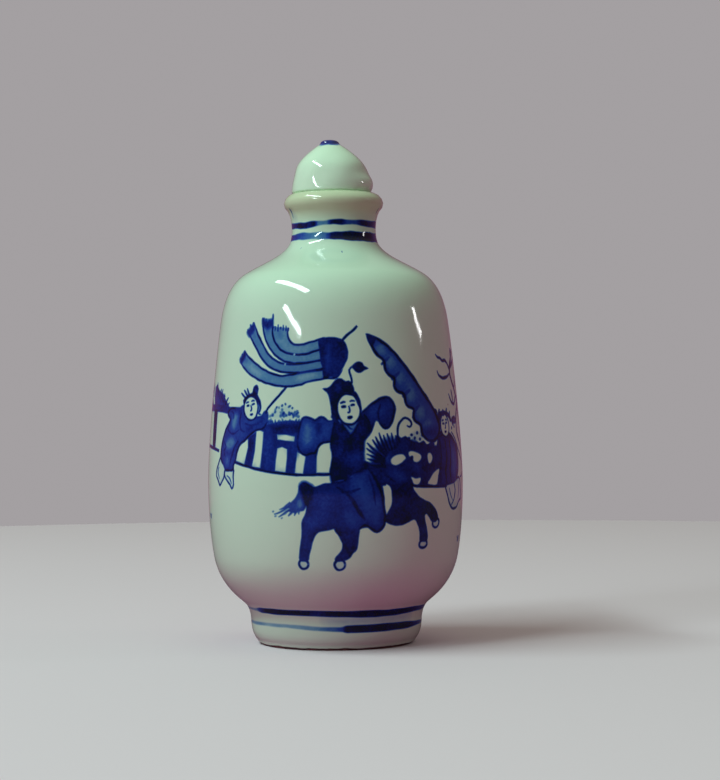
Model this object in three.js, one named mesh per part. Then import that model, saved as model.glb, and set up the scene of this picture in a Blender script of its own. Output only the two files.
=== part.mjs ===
// Porcelain snuff bottle with a domed stopper, in millimetres, +Z up.
// The origin is the centre of the foot's underside, and the painted front faces -Y.
import * as THREE from "three";

// Driving dimensions: heights are above the table, radii are from the axis.
const TOTAL_HEIGHT = 78;
const RIM_TOP = 69.6; // flat of the mouth, which the stopper sits on
const BODY_RADIUS = 19.75;
const BODY_WIDEST_AT = 25;
const WALL = 2.2;
const FLOOR_TOP = 4.8; // bottom of the hollow

const FOOT_RADIUS = 12.1; // at the table
const FOOT_TOP_RADIUS = 13.25;
const FOOT_TOP = 3.9;
const FOOT_RING_WIDTH = 2.4;
const BASE_RECESS = 1.9; // how far the base lies above the table

const NECK_RADIUS = 6.5;
const NECK_BOTTOM = 62.8;
const LIP_RADIUS = 7.72;
const LIP_WIDEST_AT = 68.1;
const MOUTH_RADIUS = 3.5;
const BORE_BOTTOM = 61.2;
const EDGE_ROUNDING = 0.4;

const STOPPER_RADIUS = 6.3;
const STOPPER_SHIFT = -0.2; // it sits a little off the bottle's axis
const STOPPER_LEAN = -0.35; // and its tip leans further the same way
const KNOB_RADIUS = 1.45;
const PLUG_RADIUS = 3;
const PLUG_LENGTH = 4.2;

const BOTTLE_SIDES = 48;
const STOPPER_SIDES = 36;

const at = (radius, height) => new THREE.Vector2(radius, height);

// Joins stretches into one row of points. Each stretch is a line, or a curve with one or two
// handles, from the end of the stretch before it.
function profile(start, stretches) {
  const points = [start];
  for (const { to, by = [], steps = 1 } of stretches) {
    const from = points[points.length - 1];
    const handles = by.map(([radius, height]) => at(radius, height));
    const kinds = [THREE.LineCurve, THREE.QuadraticBezierCurve, THREE.CubicBezierCurve];
    const curve = new kinds[handles.length](from, ...handles, at(...to));
    points.push(...curve.getPoints(steps).slice(1));
  }
  return points;
}

// Turns a profile about +Z. It runs from the axis to the axis, up the outside.
function turned(points, sides) {
  return new THREE.LatheGeometry(points, sides).rotateX(Math.PI / 2);
}

// The recessed base and the foot ring around it.
function foot() {
  const ringInner = FOOT_RADIUS - FOOT_RING_WIDTH;
  return [
    { to: [ringInner - 0.9, BASE_RECESS] },
    { to: [ringInner, 0], by: [[ringInner - 0.1, BASE_RECESS]], steps: 3 },
    { to: [FOOT_RADIUS - EDGE_ROUNDING, 0] },
    { to: [FOOT_RADIUS + 0.1, 0.5], by: [[FOOT_RADIUS, 0]], steps: 2 },
    {
      to: [FOOT_TOP_RADIUS, FOOT_TOP],
      by: [[FOOT_RADIUS + 1, 1.5], [FOOT_TOP_RADIUS - 0.05, 2.6]],
      steps: 3,
    },
  ];
}

// The outside, from the foot over the belly and the shoulder to the neck.
function outside() {
  return [
    { to: [14.4, 6.5], by: [[FOOT_TOP_RADIUS + 0.1, 5.0], [13.7, 5.9]], steps: 4 },
    { to: [18.8, 13.0], by: [[16.3, 7.95], [18.05, 9.9]], steps: 7 },
    {
      to: [BODY_RADIUS, BODY_WIDEST_AT],
      by: [[19.35, 15.6], [BODY_RADIUS, 20.2]],
      steps: 4,
    },
    { to: [17.6, 49.9], by: [[BODY_RADIUS, 31.0], [18.85, 41.5]], steps: 5 },
    { to: [13.6, 57.3], by: [[17.1, 52.7], [15.95, 55.9]], steps: 6 },
    {
      to: [NECK_RADIUS + 0.1, NECK_BOTTOM],
      by: [[10.6, 59.1], [NECK_RADIUS + 0.3, 60.3]],
      steps: 7,
    },
  ];
}

// The waisted neck, the rolled lip and the flat of the mouth.
function neckAndLip() {
  return [
    {
      to: [LIP_RADIUS - 0.52, 67.0],
      by: [[NECK_RADIUS - 0.15, 64.6], [NECK_RADIUS + 0.2, 66.3]],
      steps: 4,
    },
    {
      to: [LIP_RADIUS, LIP_WIDEST_AT],
      by: [[LIP_RADIUS - 0.2, 67.2], [LIP_RADIUS, 67.6]],
      steps: 3,
    },
    {
      to: [LIP_RADIUS - 1.3, RIM_TOP],
      by: [[LIP_RADIUS, 68.7], [LIP_RADIUS - 0.75, RIM_TOP - 0.05]],
      steps: 4,
    },
    { to: [MOUTH_RADIUS + EDGE_ROUNDING, RIM_TOP] },
    {
      to: [MOUTH_RADIUS, RIM_TOP - EDGE_ROUNDING],
      by: [[MOUTH_RADIUS, RIM_TOP]],
      steps: 2,
    },
  ];
}

// The hollow, from the bore of the neck down to its floor.
function hollow() {
  const hollowRadius = BODY_RADIUS - WALL;
  return [
    { to: [MOUTH_RADIUS, BORE_BOTTOM] },
    { to: [11.4, 55.4], by: [[MOUTH_RADIUS + 0.1, 58.6], [8.0, 57.4]], steps: 5 },
    { to: [15.4, 49.3], by: [[13.8, 54.1], [14.9, 52.3]], steps: 4 },
    {
      to: [hollowRadius, BODY_WIDEST_AT],
      by: [[16.6, 41.5], [hollowRadius, 31.0]],
      steps: 3,
    },
    { to: [16.5, 13.4], by: [[hollowRadius, 20.2], [17.2, 16.0]], steps: 3 },
    { to: [10.5, FLOOR_TOP], by: [[15.6, 10.0], [13.6, FLOOR_TOP]], steps: 5 },
    { to: [0, FLOOR_TOP] },
  ];
}

function bottle() {
  const stretches = [...foot(), ...outside(), ...neckAndLip(), ...hollow()];
  return turned(profile(at(0, BASE_RECESS), stretches), BOTTLE_SIDES);
}

// The plug, the seat on the rim, and the dome that rises to a small knob.
function stopperProfile() {
  const plugEnd = RIM_TOP - PLUG_LENGTH;
  return profile(at(0, plugEnd), [
    { to: [PLUG_RADIUS - EDGE_ROUNDING, plugEnd] },
    { to: [PLUG_RADIUS, plugEnd + EDGE_ROUNDING] },
    { to: [PLUG_RADIUS, RIM_TOP] },
    { to: [STOPPER_RADIUS - EDGE_ROUNDING, RIM_TOP] },
    {
      to: [STOPPER_RADIUS, RIM_TOP + EDGE_ROUNDING],
      by: [[STOPPER_RADIUS, RIM_TOP]],
      steps: 2,
    },
    { to: [5.55, 73.7], by: [[STOPPER_RADIUS, 71.2], [6.15, 72.5]], steps: 5 },
    { to: [2.2, 76.9], by: [[5.0, 74.85], [3.5, 76.0]], steps: 5 },
    { to: [KNOB_RADIUS, 77.5], by: [[1.6, 77.2]], steps: 2 },
    {
      to: [0, TOTAL_HEIGHT],
      by: [[KNOB_RADIUS - 0.1, 77.85], [0.8, TOTAL_HEIGHT]],
      steps: 4,
    },
  ]);
}

// Shaped by hand, the stopper is out of true: the higher a point, the more it leans.
function stopper() {
  const geometry = turned(stopperProfile(), STOPPER_SIDES);
  const place = geometry.attributes.position;
  const domeHeight = TOTAL_HEIGHT - RIM_TOP;
  for (let i = 0; i < place.count; i += 1) {
    const rise = Math.max(0, (place.getZ(i) - RIM_TOP) / domeHeight);
    place.setX(i, place.getX(i) + STOPPER_SHIFT + STOPPER_LEAN * rise);
  }
  return geometry;
}

const glaze = new THREE.MeshStandardMaterial({
  color: 0xc9dccb,
  roughness: 0.12,
  metalness: 0,
});

function piece(name, geometry) {
  const mesh = new THREE.Mesh(geometry, glaze.clone());
  mesh.name = name;
  return mesh;
}

const part = new THREE.Group();
part.add(piece("bottle", bottle()), piece("stopper", stopper()));

export default part;
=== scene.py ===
import math

import bmesh
import bpy
import numpy as np
from mathutils import Matrix, Vector, noise
from mathutils.geometry import delaunay_2d_cdt


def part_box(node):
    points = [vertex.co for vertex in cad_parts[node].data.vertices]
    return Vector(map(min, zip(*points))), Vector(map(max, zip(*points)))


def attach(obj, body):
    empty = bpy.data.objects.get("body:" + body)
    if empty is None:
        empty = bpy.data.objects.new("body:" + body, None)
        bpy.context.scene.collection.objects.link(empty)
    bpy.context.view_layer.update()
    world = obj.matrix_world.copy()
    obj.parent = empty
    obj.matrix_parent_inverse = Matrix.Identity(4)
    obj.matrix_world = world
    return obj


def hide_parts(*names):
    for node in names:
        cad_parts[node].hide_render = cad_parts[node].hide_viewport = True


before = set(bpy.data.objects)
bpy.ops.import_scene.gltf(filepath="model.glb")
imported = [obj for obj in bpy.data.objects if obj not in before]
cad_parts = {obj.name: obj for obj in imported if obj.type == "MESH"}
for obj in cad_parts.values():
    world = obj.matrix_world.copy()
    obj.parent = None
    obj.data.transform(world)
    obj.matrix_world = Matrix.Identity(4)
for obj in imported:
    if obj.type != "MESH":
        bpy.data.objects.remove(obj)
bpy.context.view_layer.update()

# The photograph's view: a long lens a third of a metre from the bottle, level with its
# middle and a little to the right of its axis.
PICTURE_TALL = 780
FOCAL_PIXELS = 2078
SENSOR = 36.0
CAMERA_PLACE = (0.0039, -0.3232, 0.0375)
CAMERA_PITCH = 90.28
CAMERA_LEAN = -0.42


def in_scene(name, data):
    """A new object that is linked to the scene."""
    thing = bpy.data.objects.new(name, data)
    bpy.context.scene.collection.objects.link(thing)
    return thing


lens = bpy.data.cameras.new("long_lens")
lens.sensor_width = SENSOR
lens.lens = SENSOR * FOCAL_PIXELS / PICTURE_TALL
lens.dof.use_dof = False
camera = in_scene("camera", lens)
pitch = Matrix.Rotation(math.radians(CAMERA_PITCH), 4, "X")
lean = Matrix.Rotation(math.radians(CAMERA_LEAN), 4, "Z")
camera.matrix_world = Matrix.Translation(CAMERA_PLACE) @ pitch @ lean
bpy.context.scene.camera = camera
bpy.context.scene.view_settings.view_transform = "Standard"

# The bottle is thrown porcelain with a turned foot ring, a high round shoulder and a
# rolled lip. Its wall is one profile turned about the axis, in millimetres here, from
# the middle of the recessed base, up the outside, over the lip and down the hollow.
MM = 0.001
BODY_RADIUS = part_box("bottle")[1].x / MM
RIM_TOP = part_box("bottle")[1].z / MM
BODY_WIDEST_AT = 25
FLOOR_TOP = 4.8
WALL = 2.2
FOOT_RADIUS = 12.1
FOOT_TOP_RADIUS = 13.25
FOOT_TOP = 3.9
FOOT_RING_WIDTH = 2.4
BASE_RECESS = 1.9
NECK_RADIUS = 6.5
NECK_BOTTOM = 62.8
LIP_RADIUS = 7.72
LIP_WIDEST_AT = 68.1
MOUTH_RADIUS = 3.5
BORE_BOTTOM = 61.2
EDGE_ROUNDING = 0.4
STRETCH_STEPS = 24


def curve_points(start, handles, end, steps):
    """The points of one Bezier stretch, without its start."""
    knots = [np.array(place, float) for place in (start, *handles, end)]
    points = []
    for step in range(1, steps + 1):
        row = knots
        while len(row) > 1:
            row = [a + (b - a) * step / steps for a, b in zip(row[:-1], row[1:])]
        points.append(row[0])
    return points


def turned_profile(start, stretches, steps=STRETCH_STEPS):
    """Radius and height along a profile of Bezier stretches, each (end, handles)."""
    points = [np.array(start, float)]
    for end, handles in stretches:
        points += curve_points(points[-1], handles, end, steps)
    return np.array(points)


def base_stretches():
    inner = FOOT_RADIUS - FOOT_RING_WIDTH
    return [
        ((inner - 0.9, BASE_RECESS), []),
        ((inner, 0), [(inner - 0.1, BASE_RECESS)]),
        ((FOOT_RADIUS - EDGE_ROUNDING, 0), []),
    ]


def outside_stretches():
    return [
        ((FOOT_RADIUS + 0.1, 0.5), [(FOOT_RADIUS, 0)]),
        ((FOOT_TOP_RADIUS, FOOT_TOP), [(FOOT_RADIUS + 1, 1.5), (FOOT_TOP_RADIUS - 0.05, 2.6)]),
        ((14.4, 6.5), [(FOOT_TOP_RADIUS + 0.1, 5.0), (13.7, 5.9)]),
        ((18.8, 13.0), [(16.3, 7.95), (18.05, 9.9)]),
        ((BODY_RADIUS, BODY_WIDEST_AT), [(19.35, 15.6), (BODY_RADIUS, 20.2)]),
        ((17.6, 49.9), [(BODY_RADIUS, 31.0), (18.32, 45.1)]),
        ((13.6, 57.3), [(17.05, 53.55), (15.85, 56.0)]),
        ((NECK_RADIUS + 0.1, NECK_BOTTOM), [(10.6, 59.1), (NECK_RADIUS + 0.3, 60.3)]),
        ((LIP_RADIUS - 0.52, 67.0), [(NECK_RADIUS - 0.15, 64.6), (NECK_RADIUS + 0.2, 66.3)]),
        ((LIP_RADIUS, LIP_WIDEST_AT), [(LIP_RADIUS - 0.2, 67.2), (LIP_RADIUS, 67.6)]),
        ((LIP_RADIUS - 1.3, RIM_TOP), [(LIP_RADIUS, 68.7), (LIP_RADIUS - 0.75, RIM_TOP - 0.05)]),
    ]


def hollow_stretches():
    inner = BODY_RADIUS - WALL
    return [
        ((MOUTH_RADIUS + EDGE_ROUNDING, RIM_TOP), []),
        ((MOUTH_RADIUS, RIM_TOP - EDGE_ROUNDING), [(MOUTH_RADIUS, RIM_TOP)]),
        ((MOUTH_RADIUS, BORE_BOTTOM), []),
        ((11.4, 55.4), [(MOUTH_RADIUS + 0.1, 58.6), (8.0, 57.4)]),
        ((15.4, 49.3), [(13.8, 54.1), (14.9, 52.3)]),
        ((inner, BODY_WIDEST_AT), [(16.6, 41.5), (inner, 31.0)]),
        ((16.5, 13.4), [(inner, 20.2), (17.2, 16.0)]),
        ((10.5, FLOOR_TOP), [(15.6, 10.0), (13.6, FLOOR_TOP)]),
        ((0, FLOOR_TOP), []),
    ]


def lengths_along(points):
    """Length run from the first point to each point of a line."""
    return np.concatenate([[0], np.cumsum(np.linalg.norm(np.diff(points, axis=0), axis=1))])


base_line = turned_profile((0, BASE_RECESS), base_stretches())
outside_line = turned_profile(base_line[-1], outside_stretches())
hollow_line = turned_profile(outside_line[-1], hollow_stretches())
wall_line = np.concatenate([base_line, outside_line[1:], hollow_line[1:]])
wall_run = lengths_along(wall_line)
sheet_low = lengths_along(base_line)[-1]
sheet_run = sheet_low + lengths_along(outside_line)
sheet_high = sheet_run[-1]

# The painter's cobalt goes on the raw body, under the glaze, so it has no thickness.
# The outside is laid out flat, x round the belly from the middle of the front and
# height z up it, and each stroke is an outline on that sheet with a strength of blue.
HALF_ROUND = math.pi * BODY_RADIUS
BLEED = 0.24
OUTLINE = 0.98
BARE = 0.0
STROKE_PITCH = 0.45
HAND_WOBBLE = 0.08
WOBBLES_PER_MM = 1.1
TAPER = 1.6
PRESSURE_SWING = 0.3
BAND_PLACES = 241
strokes = []


def smooth_line(places, closed=False):
    """A curve through the places."""
    places = np.array(places, float)
    count = len(places)
    out = []
    for i in range(count if closed else count - 1):
        if closed:
            before, a, b, after = (places[(i + k) % count] for k in (-1, 0, 1, 2))
        else:
            before, a, b, after = (places[min(max(i + k, 0), count - 1)] for k in (-1, 0, 1, 2))
        steps = max(2, math.ceil(np.linalg.norm(b - a) / STROKE_PITCH))
        for t in np.arange(steps) / steps:
            bend = 2 * before - 5 * a + 4 * b - after
            twist = 3 * (a - b) + after - before
            out.append(a + 0.5 * ((b - before) + bend * t + twist * t * t) * t)
    if not closed:
        out.append(places[-1])
    return np.array(out)


def by_hand(points):
    """The points a little off their places, as a hand draws them."""
    spots = points * WOBBLES_PER_MM
    off = [[noise.noise(Vector((x, z, side))) for side in (2.0, 9.0)] for x, z in spots]
    return points + HAND_WOBBLE * np.array(off)


def on_sheet(points):
    """Sheet places of (x, height) points: the second becomes the run up the profile."""
    points = np.array(points, float)
    run = np.interp(points[:, 1], outside_line[:, 1], sheet_run)
    return np.stack([points[:, 0], run], 1)


def sideways(points, closed):
    """Unit vectors square to a line, on its right."""
    if closed:
        ahead = np.roll(points, -1, 0) - np.roll(points, 1, 0)
    else:
        ahead = np.gradient(points, axis=0)
    ahead /= np.maximum(np.linalg.norm(ahead, axis=1, keepdims=True), 1e-9)
    return np.stack([ahead[:, 1], -ahead[:, 0]], 1)


def both_sides(line, closed, bleed=BLEED):
    """The creases on either side of an edge, between which its colour fades."""
    away = sideways(line, closed) * bleed / 2
    return [(line + away, closed), (line - away, closed)]


def lay_wash(places, rim, middle, pool, smooth, bleed=BLEED):
    """An area of blue: rim where the colour pools at its edge, and middle inside."""
    outline = smooth_line(places, closed=True) if smooth else np.array(places, float)
    outline = on_sheet(by_hand(outline))
    strokes.append((outline, rim, middle, pool, bleed, both_sides(outline, True, bleed)))


def lay_line(places, width, tone, closed, start, end):
    """One pull of the brush along the places, thinner at its ends."""
    spine = by_hand(smooth_line(places, closed))
    length = lengths_along(spine)
    taper = min(TAPER, length[-1] * 0.4)
    half = np.full(len(spine), width / 2)
    if not closed:
        half *= start + (1 - start) * np.clip(length / taper, 0, 1) ** 0.7
        half *= end + (1 - end) * np.clip((length[-1] - length) / taper, 0, 1) ** 0.7
    half *= [1 + PRESSURE_SWING * noise.noise(Vector((x * 0.9, z * 0.9, 7.3))) for x, z in spine]
    out = sideways(spine, closed) * half[:, None]
    right, left = on_sheet(spine + out), on_sheet(spine - out)
    if closed:
        outline = np.concatenate([right, right[:1], left[:1], left[::-1]])
        creases = both_sides(right, True) + both_sides(left, True)
    else:
        outline = np.concatenate([right, left[::-1]])
        creases = both_sides(outline, True)
    strokes.append((outline, tone, tone, 1.0, BLEED, creases))


def lay_band(height, width, tone):
    """A line pulled round the turning bottle, each value a function of x."""
    x = np.linspace(-HALF_ROUND, HALF_ROUND, BAND_PLACES)
    middle = np.interp([height(v) for v in x], outside_line[:, 1], sheet_run)
    half = np.array([width(v) / 2 for v in x])
    edges = [np.stack([x, middle + side * half], 1) for side in (-1, 1)]
    creases = [(edge + (0, side * BLEED / 2), False) for edge in edges for side in (1, -1)]
    strokes.append((tuple(edges), tone, tone, 1.0, BLEED, creases))


def depth_inside(points, outline):
    """How far each point is inside an outline, and below zero how far outside."""
    following = np.roll(outline, -1, 0)
    side = following - outline
    reach = points[:, None] - outline[None]
    along = np.sum(reach * side, 2) / np.maximum(np.sum(side * side, 1), 1e-12)
    gap = reach - np.clip(along, 0, 1)[..., None] * side
    nearest = np.sqrt(np.min(np.sum(gap * gap, 2), 1))
    turn = side[:, 0] * reach[..., 1] - side[:, 1] * reach[..., 0]
    level = points[:, None, 1]
    up = (outline[:, 1] <= level) & (following[:, 1] > level) & (turn > 0)
    down = (outline[:, 1] > level) & (following[:, 1] <= level) & (turn < 0)
    inside = up.sum(1) - down.sum(1) != 0
    return np.where(inside, nearest, -nearest)


def blue_at(points):
    """The strength of blue at sheet points, with later strokes over earlier ones."""
    blue = np.zeros(len(points))
    for outline, rim, middle, pool, bleed, _ in strokes:
        if isinstance(outline, tuple):
            low, high = (np.interp(points[:, 0], edge[:, 0], edge[:, 1]) for edge in outline)
            depth = np.minimum(points[:, 1] - low, high - points[:, 1])
            near = depth > -bleed
            depth = depth[near]
            strength = np.array([rim(x) for x in points[near, 0]])
        else:
            near = np.all((points > outline.min(0) - bleed) & (points < outline.max(0) + bleed), 1)
            depth = depth_inside(points[near], outline)
            strength = middle + (rim - middle) * np.exp(-np.maximum(depth, 0) / pool)
        cover = np.clip(0.5 + depth / bleed, 0, 1)
        blue[near] += (strength - blue[near]) * cover
    return blue


class Brush:
    """A brush held at one place on the sheet, which can draw smaller, tilted or flipped."""

    def __init__(self, x=0.0, height=0.0, size=1.0, tilt=0.0, flip=False):
        self.middle = np.array((x, height))
        self.size = size
        self.tilt = tilt
        self.flip = flip

    def at(self, places):
        """Sheet places of points drawn about the brush's own place."""
        x, z = (np.array(places, float) * (-self.size if self.flip else self.size, self.size)).T
        cos, sin = math.cos(math.radians(self.tilt)), math.sin(math.radians(self.tilt))
        return np.stack([x * cos - z * sin, x * sin + z * cos], -1) + self.middle

    def held(self, x, height, size, tilt):
        """The same brush at another place of the picture, leaning tilt degrees to the left."""
        tilt = self.tilt + (-tilt if self.flip else tilt)
        return Brush(*self.at((x, height)), self.size * size, tilt, self.flip)

    def wash(self, places, rim, middle=None, pool=0.8, bleed=BLEED, smooth=True):
        middle = rim if middle is None else middle
        lay_wash(self.at(places), rim, middle, pool * self.size, smooth, bleed)

    def line(self, places, width, tone, closed=False, start=0.5, end=0.35):
        lay_line(self.at(places), width * self.size, tone, closed, start, end)

    def shape(self, places, rim, middle, width, edge=OUTLINE):
        """A washed area with a line round it."""
        self.wash(places, rim, middle)
        self.line(places, width, edge, closed=True)

    def soft(self, places, tone, bleed=1.1):
        """A change of strength inside a wash, with no edge."""
        self.wash(places, tone, bleed=bleed * self.size)

    def oval(self, x, height, wide, tall, tilt=0.0, count=10):
        """Points round an ellipse, from its half sizes."""
        turns = np.arange(count) / count * math.tau
        points = np.stack([np.cos(turns) * wide, np.sin(turns) * tall], 1)
        cos, sin = math.cos(tilt), math.sin(tilt)
        return points @ np.array([[cos, sin], [-sin, cos]]) + (x, height)

    def dab(self, x, height, radius, tone, stretch, tilt=0.0):
        """A touch of the brush tip."""
        self.wash(self.oval(x, height, radius * stretch, radius, tilt, 6), tone)


# The garden wall behind the figures is a dark rail on posts round bare panels. It was
# washed in first, and bushes in small touches of the tip show over it.


def bush(brush, wide, high, count, seed):
    """A mound of leaves, dense at its foot and loose at its edge."""
    random = np.random.default_rng(seed)
    for _ in range(count):
        x = random.uniform(-1, 1)
        z = random.uniform(0, 1) ** 1.3 * (1 - x * x) ** 0.5
        tone = 0.84 - 0.5 * random.random()
        radius = random.uniform(0.1, 0.21) * (1.1 - 0.3 * z)
        brush.dab(x * wide, z * high, radius, tone, random.uniform(1, 1.8), random.uniform(0.4, 2.4))


def fringe(brush, places, high, tone, lean, width=0.36):
    """Blades that stand along a line."""
    for i, (x, z) in enumerate(places):
        tall = high * (0.75 + 0.35 * math.sin(i * 2.3))
        side = lean * math.sin(i * 1.7 + 1)
        brush.line([(x, z - 0.3), (x + side * 0.3, z + tall * 0.5), (x + side, z + tall)], width, tone,
                   start=1, end=0.15)


def wall_behind(brush):
    low = [(0.3, 26.7), (-2.7, 26.6), (-5.5, 26.6), (-9.0, 26.9), (-12.5, 27.4), (-17.3, 28.4)]
    brush.wash([(-15.0, 31.5), (-10.9, 34.0), (-7.5, 34.6), (-4, 34.4), (0.3, 34.3), *low], 0.84, 0.77,
               smooth=False)
    brush.soft([(-10.7, 33.4), (-9.9, 33.4), (-10.0, 28.0), (-10.9, 28.0)], 0.7)
    brush.soft([(-3.9, 30.6), (-3.3, 30.6), (-3.3, 27.6), (-3.9, 27.6)], 0.7)
    brush.soft([(-13.8, 31.4), (-13.2, 31.4), (-13.5, 28.4), (-14.1, 28.4)], 0.9)
    brush.soft([(-9.6, 33.8), (-5.2, 33.9), (-5.2, 33.1), (-9.4, 33.2)], 0.9)
    panels = [
        [(-15.9, 30.8), (-15.0, 31.4), (-14.2, 31.9), (-14.1, 30.6), (-14.8, 28.1), (-16.7, 28.6),
         (-16.4, 29.7)],
        [(-12.5, 33.1), (-11.9, 33.2), (-11.2, 32.9), (-11.3, 30.9), (-11.6, 27.6), (-13.2, 27.8),
         (-12.7, 30.1)],
        [(-8.8, 32.5), (-7.3, 32.5), (-5.9, 32.2), (-6.0, 31.5), (-7.3, 31.6), (-8.7, 31.8)],
        [(-8.7, 30.5), (-7.9, 30.7), (-7.1, 30.4), (-7.1, 29.0), (-7.3, 27.0), (-9.0, 27.2), (-8.9, 28.7)],
        [(-5.5, 29.9), (-4.9, 29.7), (-4.2, 29.3), (-4.4, 28.0), (-4.6, 26.8), (-5.8, 26.9), (-5.7, 28.4)],
        [(0.2, 31.4), (-1.4, 31.2), (-2.2, 30.8), (-2.5, 29.3), (-2.6, 26.9), (0.2, 26.9)],
    ]
    for panel in panels:
        brush.wash(panel, BARE, smooth=False)
    brush.line(low[::-1], 0.3, OUTLINE, start=0.8, end=1)
    places = [(x, 34.35 + 0.1 * math.sin(3 * x)) for x in np.arange(-10.4, -5.0, 0.42)]
    fringe(brush, places, 0.5, 0.72, 0.3, 0.3)
    brush.wash([(-10.2, 35.0), (-9.0, 36.3), (-7.6, 36.9), (-6.4, 36.3), (-5.2, 35.2), (-7.6, 34.8)], 0.12,
               0.08, bleed=0.8)
    bush(Brush(-7.7, 35.2), 2.3, 2.0, 30, 3)
    bush(Brush(-7.9, 35.1), 2.8, 0.8, 14, 4)


def wall_at_left(brush):
    """The wall as it runs on round the side, with a bush over it and a dark post."""
    end = -36
    mass = [(-25.6, 36.3), (-26.2, 38.3), (-25.8, 39.5), (-24.9, 40.0), (-23.5, 39.2), (-22.5, 38.9),
            (-21.4, 38.5), (-20.6, 37.8), (-19.9, 37.2), (-19.4, 36.7), (-21.6, 36.4)]
    brush.wash([(-36, 36.2), (-34.5, 37.4), (-32.6, 38.4), (-30.0, 39.2), *mass], 0.78, 0.72)
    tops = [(-34.0, 37.6), (-32.6, 38.4), (-31.4, 38.7), (-30.2, 39.0), (-29.0, 39.1), (-27.8, 39.2),
            (-26.9, 39.2), (-26.0, 39.2), (-25.2, 39.4), (-24.4, 39.2), (-23.6, 38.8), (-22.9, 38.5),
            (-22.2, 38.3), (-21.5, 38.1), (-20.9, 37.6), (-20.3, 37.2)]
    fringe(brush, tops, 1.1, 0.84, 0.7, 0.4)
    fringe(brush, [(x + 0.3, z - 0.7) for x, z in tops], 1.0, 0.88, 0.8, 0.3)
    rail = [(end, 36.9), (-30, 37.0), (-25.5, 37.0), (-21.6, 36.9), (-18.9, 36.6), (-16.3, 36.6),
            (-16.2, 35.6), (-18.8, 35.5), (-21.4, 35.8), (-25.3, 36.0), (-30, 36.0), (end, 35.9)]
    brush.wash(rail, 0.84, 0.78, smooth=False)
    post = [(-23.5, 36.2), (-23.5, 33.7), (-23.5, 31.7), (-23.6, 30.4), (-25.2, 30.6), (-25.4, 32.6),
            (-25.5, 34.7), (-25.6, 36.2)]
    brush.wash(post, 0.95, 0.93, smooth=False)
    brush.line([(end, 31.0), (-31, 30.8), (-26.9, 30.6), (-24.1, 30.3), (-21.8, 30.0)], 0.44, OUTLINE,
               start=1, end=0.8)
    for x in (-29.5, -33.6):
        brush.wash([(x - 0.5, 36.2), (x + 0.6, 36.2), (x + 0.5, 30.7), (x - 0.6, 30.8)], 0.84, 0.78,
                   smooth=False)


# The banner streams back from its pole, a dark rounded head and four pale ribbons with
# frayed ends, each outlined in two long pulls of the brush.


def ribbon(brush, upper, lower, tone):
    top, bottom = smooth_line(brush.at(upper)), smooth_line(brush.at(lower))
    lay_wash(np.concatenate([top, bottom[::-1]]), tone + 0.1, tone, 0.5, smooth=False)
    brush.line(upper, 0.27, OUTLINE, start=1)
    brush.line(lower, 0.27, OUTLINE, start=1)


def fray(brush, places, length, lean, width=0.28):
    """Loose threads at the end of a ribbon."""
    for i, (x, z) in enumerate(places):
        reach = length * (0.8 + 0.3 * math.sin(i * 2.3))
        root = (x - lean[0] * reach, z - lean[1] * reach)
        tip = (x + lean[0] * reach, z + lean[1] * reach)
        brush.line([root, (x, z), tip], width, 0.78, start=1, end=0.3)


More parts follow.
